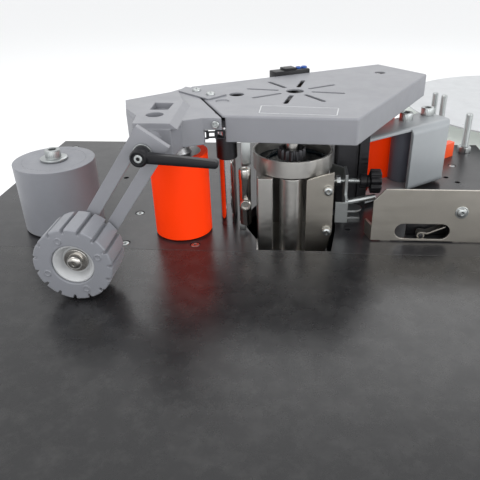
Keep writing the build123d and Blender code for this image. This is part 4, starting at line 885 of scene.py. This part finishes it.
def make_controls():
    """Mushroom stop, start button, temperature controller and ribbed feet."""
    low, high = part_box("emergency_stop")
    centre = middle("emergency_stop")
    place = along_front((centre.x, high[1], centre.z))
    reach = high[1] - low[1]
    bm = bmesh.new()
    turned(bm, ((6 * MM, 0), (6 * MM, reach - 9 * MM), (13 * MM, reach - 9 * MM),
                (15.6 * MM, reach - 8.2 * MM, 1),
                (16 * MM, reach - 6.5 * MM, 1), (15.4 * MM, reach - 2.6 * MM, 1), (13 * MM, reach - 0.8 * MM),
                (7 * MM, reach)), 120, place, lobes(20, 0.35 * MM))
    add_piece("mushroom_stop_button", bm, "red_plastic", "stop_control", ("emergency_stop",))
    low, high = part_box("start_button")
    centre = middle("start_button")
    reach = high[1] - low[1]
    bm = bmesh.new()
    turned(bm, ((5 * MM, 0), (5 * MM, reach - 4 * MM), (9 * MM, reach - 4 * MM), (9 * MM, reach - 1 * MM),
                (8.2 * MM, reach - 0.2 * MM), (7 * MM, reach), (6.4 * MM, reach - 0.5 * MM)), 64,
           along_front((centre.x, high[1], centre.z)))
    add_piece("green_start_button", bm, "green_plastic", "start_control", ("start_button",))
    low, high = (Vector(c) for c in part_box("temperature_controller"))
    place = Matrix.Translation((0, high.y, 0)) @ Matrix.Rotation(radians(90), 4, "X")
    bm = bmesh.new()
    depth = high.y - low.y
    x0, x1, z0, z1 = low.x, high.x, low.z, high.z
    plate_shape(bm, ((x0, z0), (x1, z0), (x1, z1), (x0, z1)), 0, depth - 2 * MM, 1.2 * MM, place)
    for a, b, c, d in ((x0, x1, z0, z0 + 4 * MM), (x0, x1, z1 - 4 * MM, z1),
                       (x0, x0 + 4 * MM, z0 + 4 * MM, z1 - 4 * MM),
                       (x1 - 4 * MM, x1, z0 + 4 * MM, z1 - 4 * MM)):
        plate_shape(bm, ((a, c), (b, c), (b, d), (a, d)), depth - 2.5 * MM, depth, 0.5 * MM, place)
    for step in range(4):
        left = x0 + (7 + 9 * step) * MM
        plate_shape(bm, ((left, z0 + 7 * MM), (left + 7 * MM, z0 + 7 * MM), (left + 7 * MM, z0 + 11 * MM),
                         (left, z0 + 11 * MM)), depth - 2.2 * MM, depth - 0.6 * MM, 0.4 * MM, place)
    add_piece("temperature_controller_case", bm, "black_plastic", "machine_frame",
              ("temperature_controller",))
    bm = bmesh.new()
    plate_shape(bm, ((x0 + 6 * MM, z0 + 16 * MM), (x1 - 6 * MM, z0 + 16 * MM), (x1 - 6 * MM, z1 - 6 * MM),
                     (x0 + 6 * MM, z1 - 6 * MM)), depth - 2.1 * MM, depth - 1.4 * MM, 0.2 * MM, place)
    add_piece("controller_window", bm, "", "machine_frame",
              material=plastic("dark_window", (0.03, 0.005, 0.006), 0.1))
    low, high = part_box("rubber_feet")
    bm = bmesh.new()
    for x in (-0.24, 0.24):
        for y in (-0.235, 0.235):
            ring_shape(bm, ((4.6 * MM, 0), (19 * MM, 0), (20 * MM, 1.5 * MM), (19.2 * MM, 9 * MM),
                            (19.6 * MM, 10 * MM),
                            (18.5 * MM, 19.4 * MM), (17.8 * MM, 20 * MM), (4.6 * MM, 20 * MM)), 64,
                       Matrix.Translation((x, y, low[2])))
    add_piece("ribbed_rubber_feet", bm, "dark_grey_rubber", "machine_frame", ("rubber_feet",))


def chain_path():
    """Closed line of points along the chain, round the four sprockets."""
    wheels = []
    for node, teeth in (("feed_sprocket", 15), ("glue_sprocket", 10), ("infeed_sprocket", 15),
                        ("drive_sprocket", 12)):
        centre = middle(node)
        wheels.append((centre.x, centre.y, CHAIN_PITCH / (2 * sin(pi / teeth)) + 3.2 * MM))
    normals = []
    for here, there in zip(wheels, wheels[1:] + wheels[:1]):
        span = hypot(there[0] - here[0], there[1] - here[1])
        normals.append(atan2(there[1] - here[1], there[0] - here[0]) - acos((here[2] - there[2]) / span))
    line = []
    for index, (x, y, radius) in enumerate(wheels):
        start = normals[index - 1]
        turn = (normals[index] - start) % (2 * pi)
        for step in range(13):
            angle = start + turn * step / 12
            line.append(Vector((x + radius * cos(angle), y + radius * sin(angle), 0)))
    return line + line[:1]


def make_chain():
    """Roller chain: rollers on every pitch, with inner and outer plates in turn."""
    line = chain_path()
    length = sum((b - a).length for a, b in zip(line, line[1:]))
    count = 2 * round(length / (2 * CHAIN_PITCH))
    pitch = length / count
    spots, walked, goal = [], 0.0, 0.0
    for a, b in zip(line, line[1:]):
        span = (b - a).length
        while span and goal <= walked + span and len(spots) < count:
            spots.append(a + (b - a) * ((goal - walked) / span))
            goal += pitch
        walked += span
    low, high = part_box("drive_chain")[0][2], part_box("drive_chain")[1][2]
    bm = bmesh.new()
    for index, here in enumerate(spots):
        there = spots[(index + 1) % count]
        way = there - here
        face = Matrix.Translation(here) @ Matrix.Rotation(atan2(way.y, way.x), 4, "Z")
        turned(bm, ((1.5 * MM, low + 0.9 * MM), (1.5 * MM, high - 0.9 * MM)), 10,
               face @ Matrix.Translation((0, -0.7 * MM, 0)))
        reach, half, outer = way.length, 0.8 * MM, 2.4 * MM
        outline = ((-half, -outer), (reach + half, -outer), (reach + half, half), (-half, half))
        inset = 1.0 * MM if index % 2 else 0.0
        for z in (low + inset, high - inset - 0.9 * MM):
            plate_shape(bm, outline, z, z + 0.9 * MM, 0, face)
    add_piece("roller_chain", bm, "black_steel", "machine_frame", ("drive_chain",), smooth=False)


def make_reel():
    """Two thin discs on a hub; the lower disc glows, painted light that stands in for light passing through it.
    """
    low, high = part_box("tape_reel")
    centre = middle("tape_reel")
    radius = (high[0] - low[0]) / 2
    place = Matrix.Translation((centre.x, centre.y, 0))
    for name, z, slot in (("upper_reel_disc", high[2] - 2 * MM, "pale_disc"),
                          ("lower_reel_disc", low[2], None)):
        bm = bmesh.new()
        ring_shape(bm,
                   ((10.1 * MM, z), (radius - 0.4 * MM, z), (radius, z + 0.4 * MM), (radius, z + 1.6 * MM),
                        (radius - 0.4 * MM, z + 2 * MM), (10.1 * MM, z + 2 * MM)), 160, place)
        if slot:
            add_piece(name, bm, slot, "reel", ("tape_reel",))
        else:
            # painted light: the lower disc glows so that the shaded gap under the upper disc looks lit
            disc = rubber("glowing_disc_painted_light", (0.46, 0.49, 0.46), 0.35, bump=0.0, dust=0.0, painted_glow=0.62)
            add_piece(name, bm, "", "reel", material=disc)
    bm = bmesh.new()
    ring_shape(bm, ((10.1 * MM, low[2] + 2 * MM), (50 * MM, low[2] + 2 * MM), (50 * MM, high[2] - 2 * MM),
                    (10.1 * MM, high[2] - 2 * MM)), 96, place)
    add_piece("reel_hub", bm, "pale_disc", "reel")


def make_blank_plate_border():
    """Thin silver border of the blank plate on the cover."""
    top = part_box("cover_shell")[1][2]
    bm = bmesh.new()
    corners = ((11.5 * MM, 13.0 * MM), (83.3 * MM, 6.4 * MM), (86.3 * MM, 31.2 * MM), (12.1 * MM, 39.7 * MM))
    for (ax, ay), (bx, by) in zip(corners, corners[1:] + corners[:1]):
        way = Vector((bx - ax, by - ay, 0))
        place = Matrix.Translation((ax, ay, top)) @ Matrix.Rotation(atan2(way.y, way.x), 4, "Z")
        plate_shape(bm, ((0, -0.6 * MM), (way.length, -0.6 * MM), (way.length, 0.6 * MM), (0, 0.6 * MM)),
                    -0.05 * MM,
                    0.15 * MM, 0, place)
    add_piece("blank_plate_border", bm, "", "machine_frame",
              material=plastic("silver_foil", (0.55, 0.56, 0.58), 0.3))


def make_dosing_plate_screws():
    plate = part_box("dosing_plate")
    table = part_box("rear_table_plate")[1][2]
    bm = bmesh.new()
    for z in (48.5 * MM, 2.0 * MM):
        place = along_front((plate[1][0] - 5.5 * MM, plate[0][1] + 3.5 * MM, table + z))
        cross_recess(bm, place, 5.3 * MM, 4.2 * MM)
    add_piece("dosing_plate_screws", bm, "zinc", "dosing_slide")


def make_vent_shade_plate():
    """Dark plate behind the rear slots: painted shade that keeps the view through the slots dark."""
    x, y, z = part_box("rear_panel")[0]
    bm = bmesh.new()
    box_shape(bm, (-90 * MM, y - 12 * MM, z + 40 * MM), (90 * MM, y - 10 * MM, z + 140 * MM), 0.4 * MM)
    add_piece("vent_shade_plate", bm, "black_steel", "machine_frame")


def dress_frame():
    """Gives every CAD node the finish of its material slot."""
    for part in frame["record"]["subparts"]:
        piece = NODES[part["node"]]
        for place in piece.material_slots:
            place.material = MATERIALS[part["material_slot"]]


make_camera()
make_stage()
dress_frame()
make_hold_down_wheel()
make_clamp_lever()
make_star_knob()
make_pot_clamp()
make_studs()
make_axle_screws()
make_air_valve()
make_machine_screws()
make_glue_roller()
make_fence_parts()
make_controls()
make_chain()
make_reel()
make_blank_plate_border()
make_dosing_plate_screws()
make_vent_shade_plate()
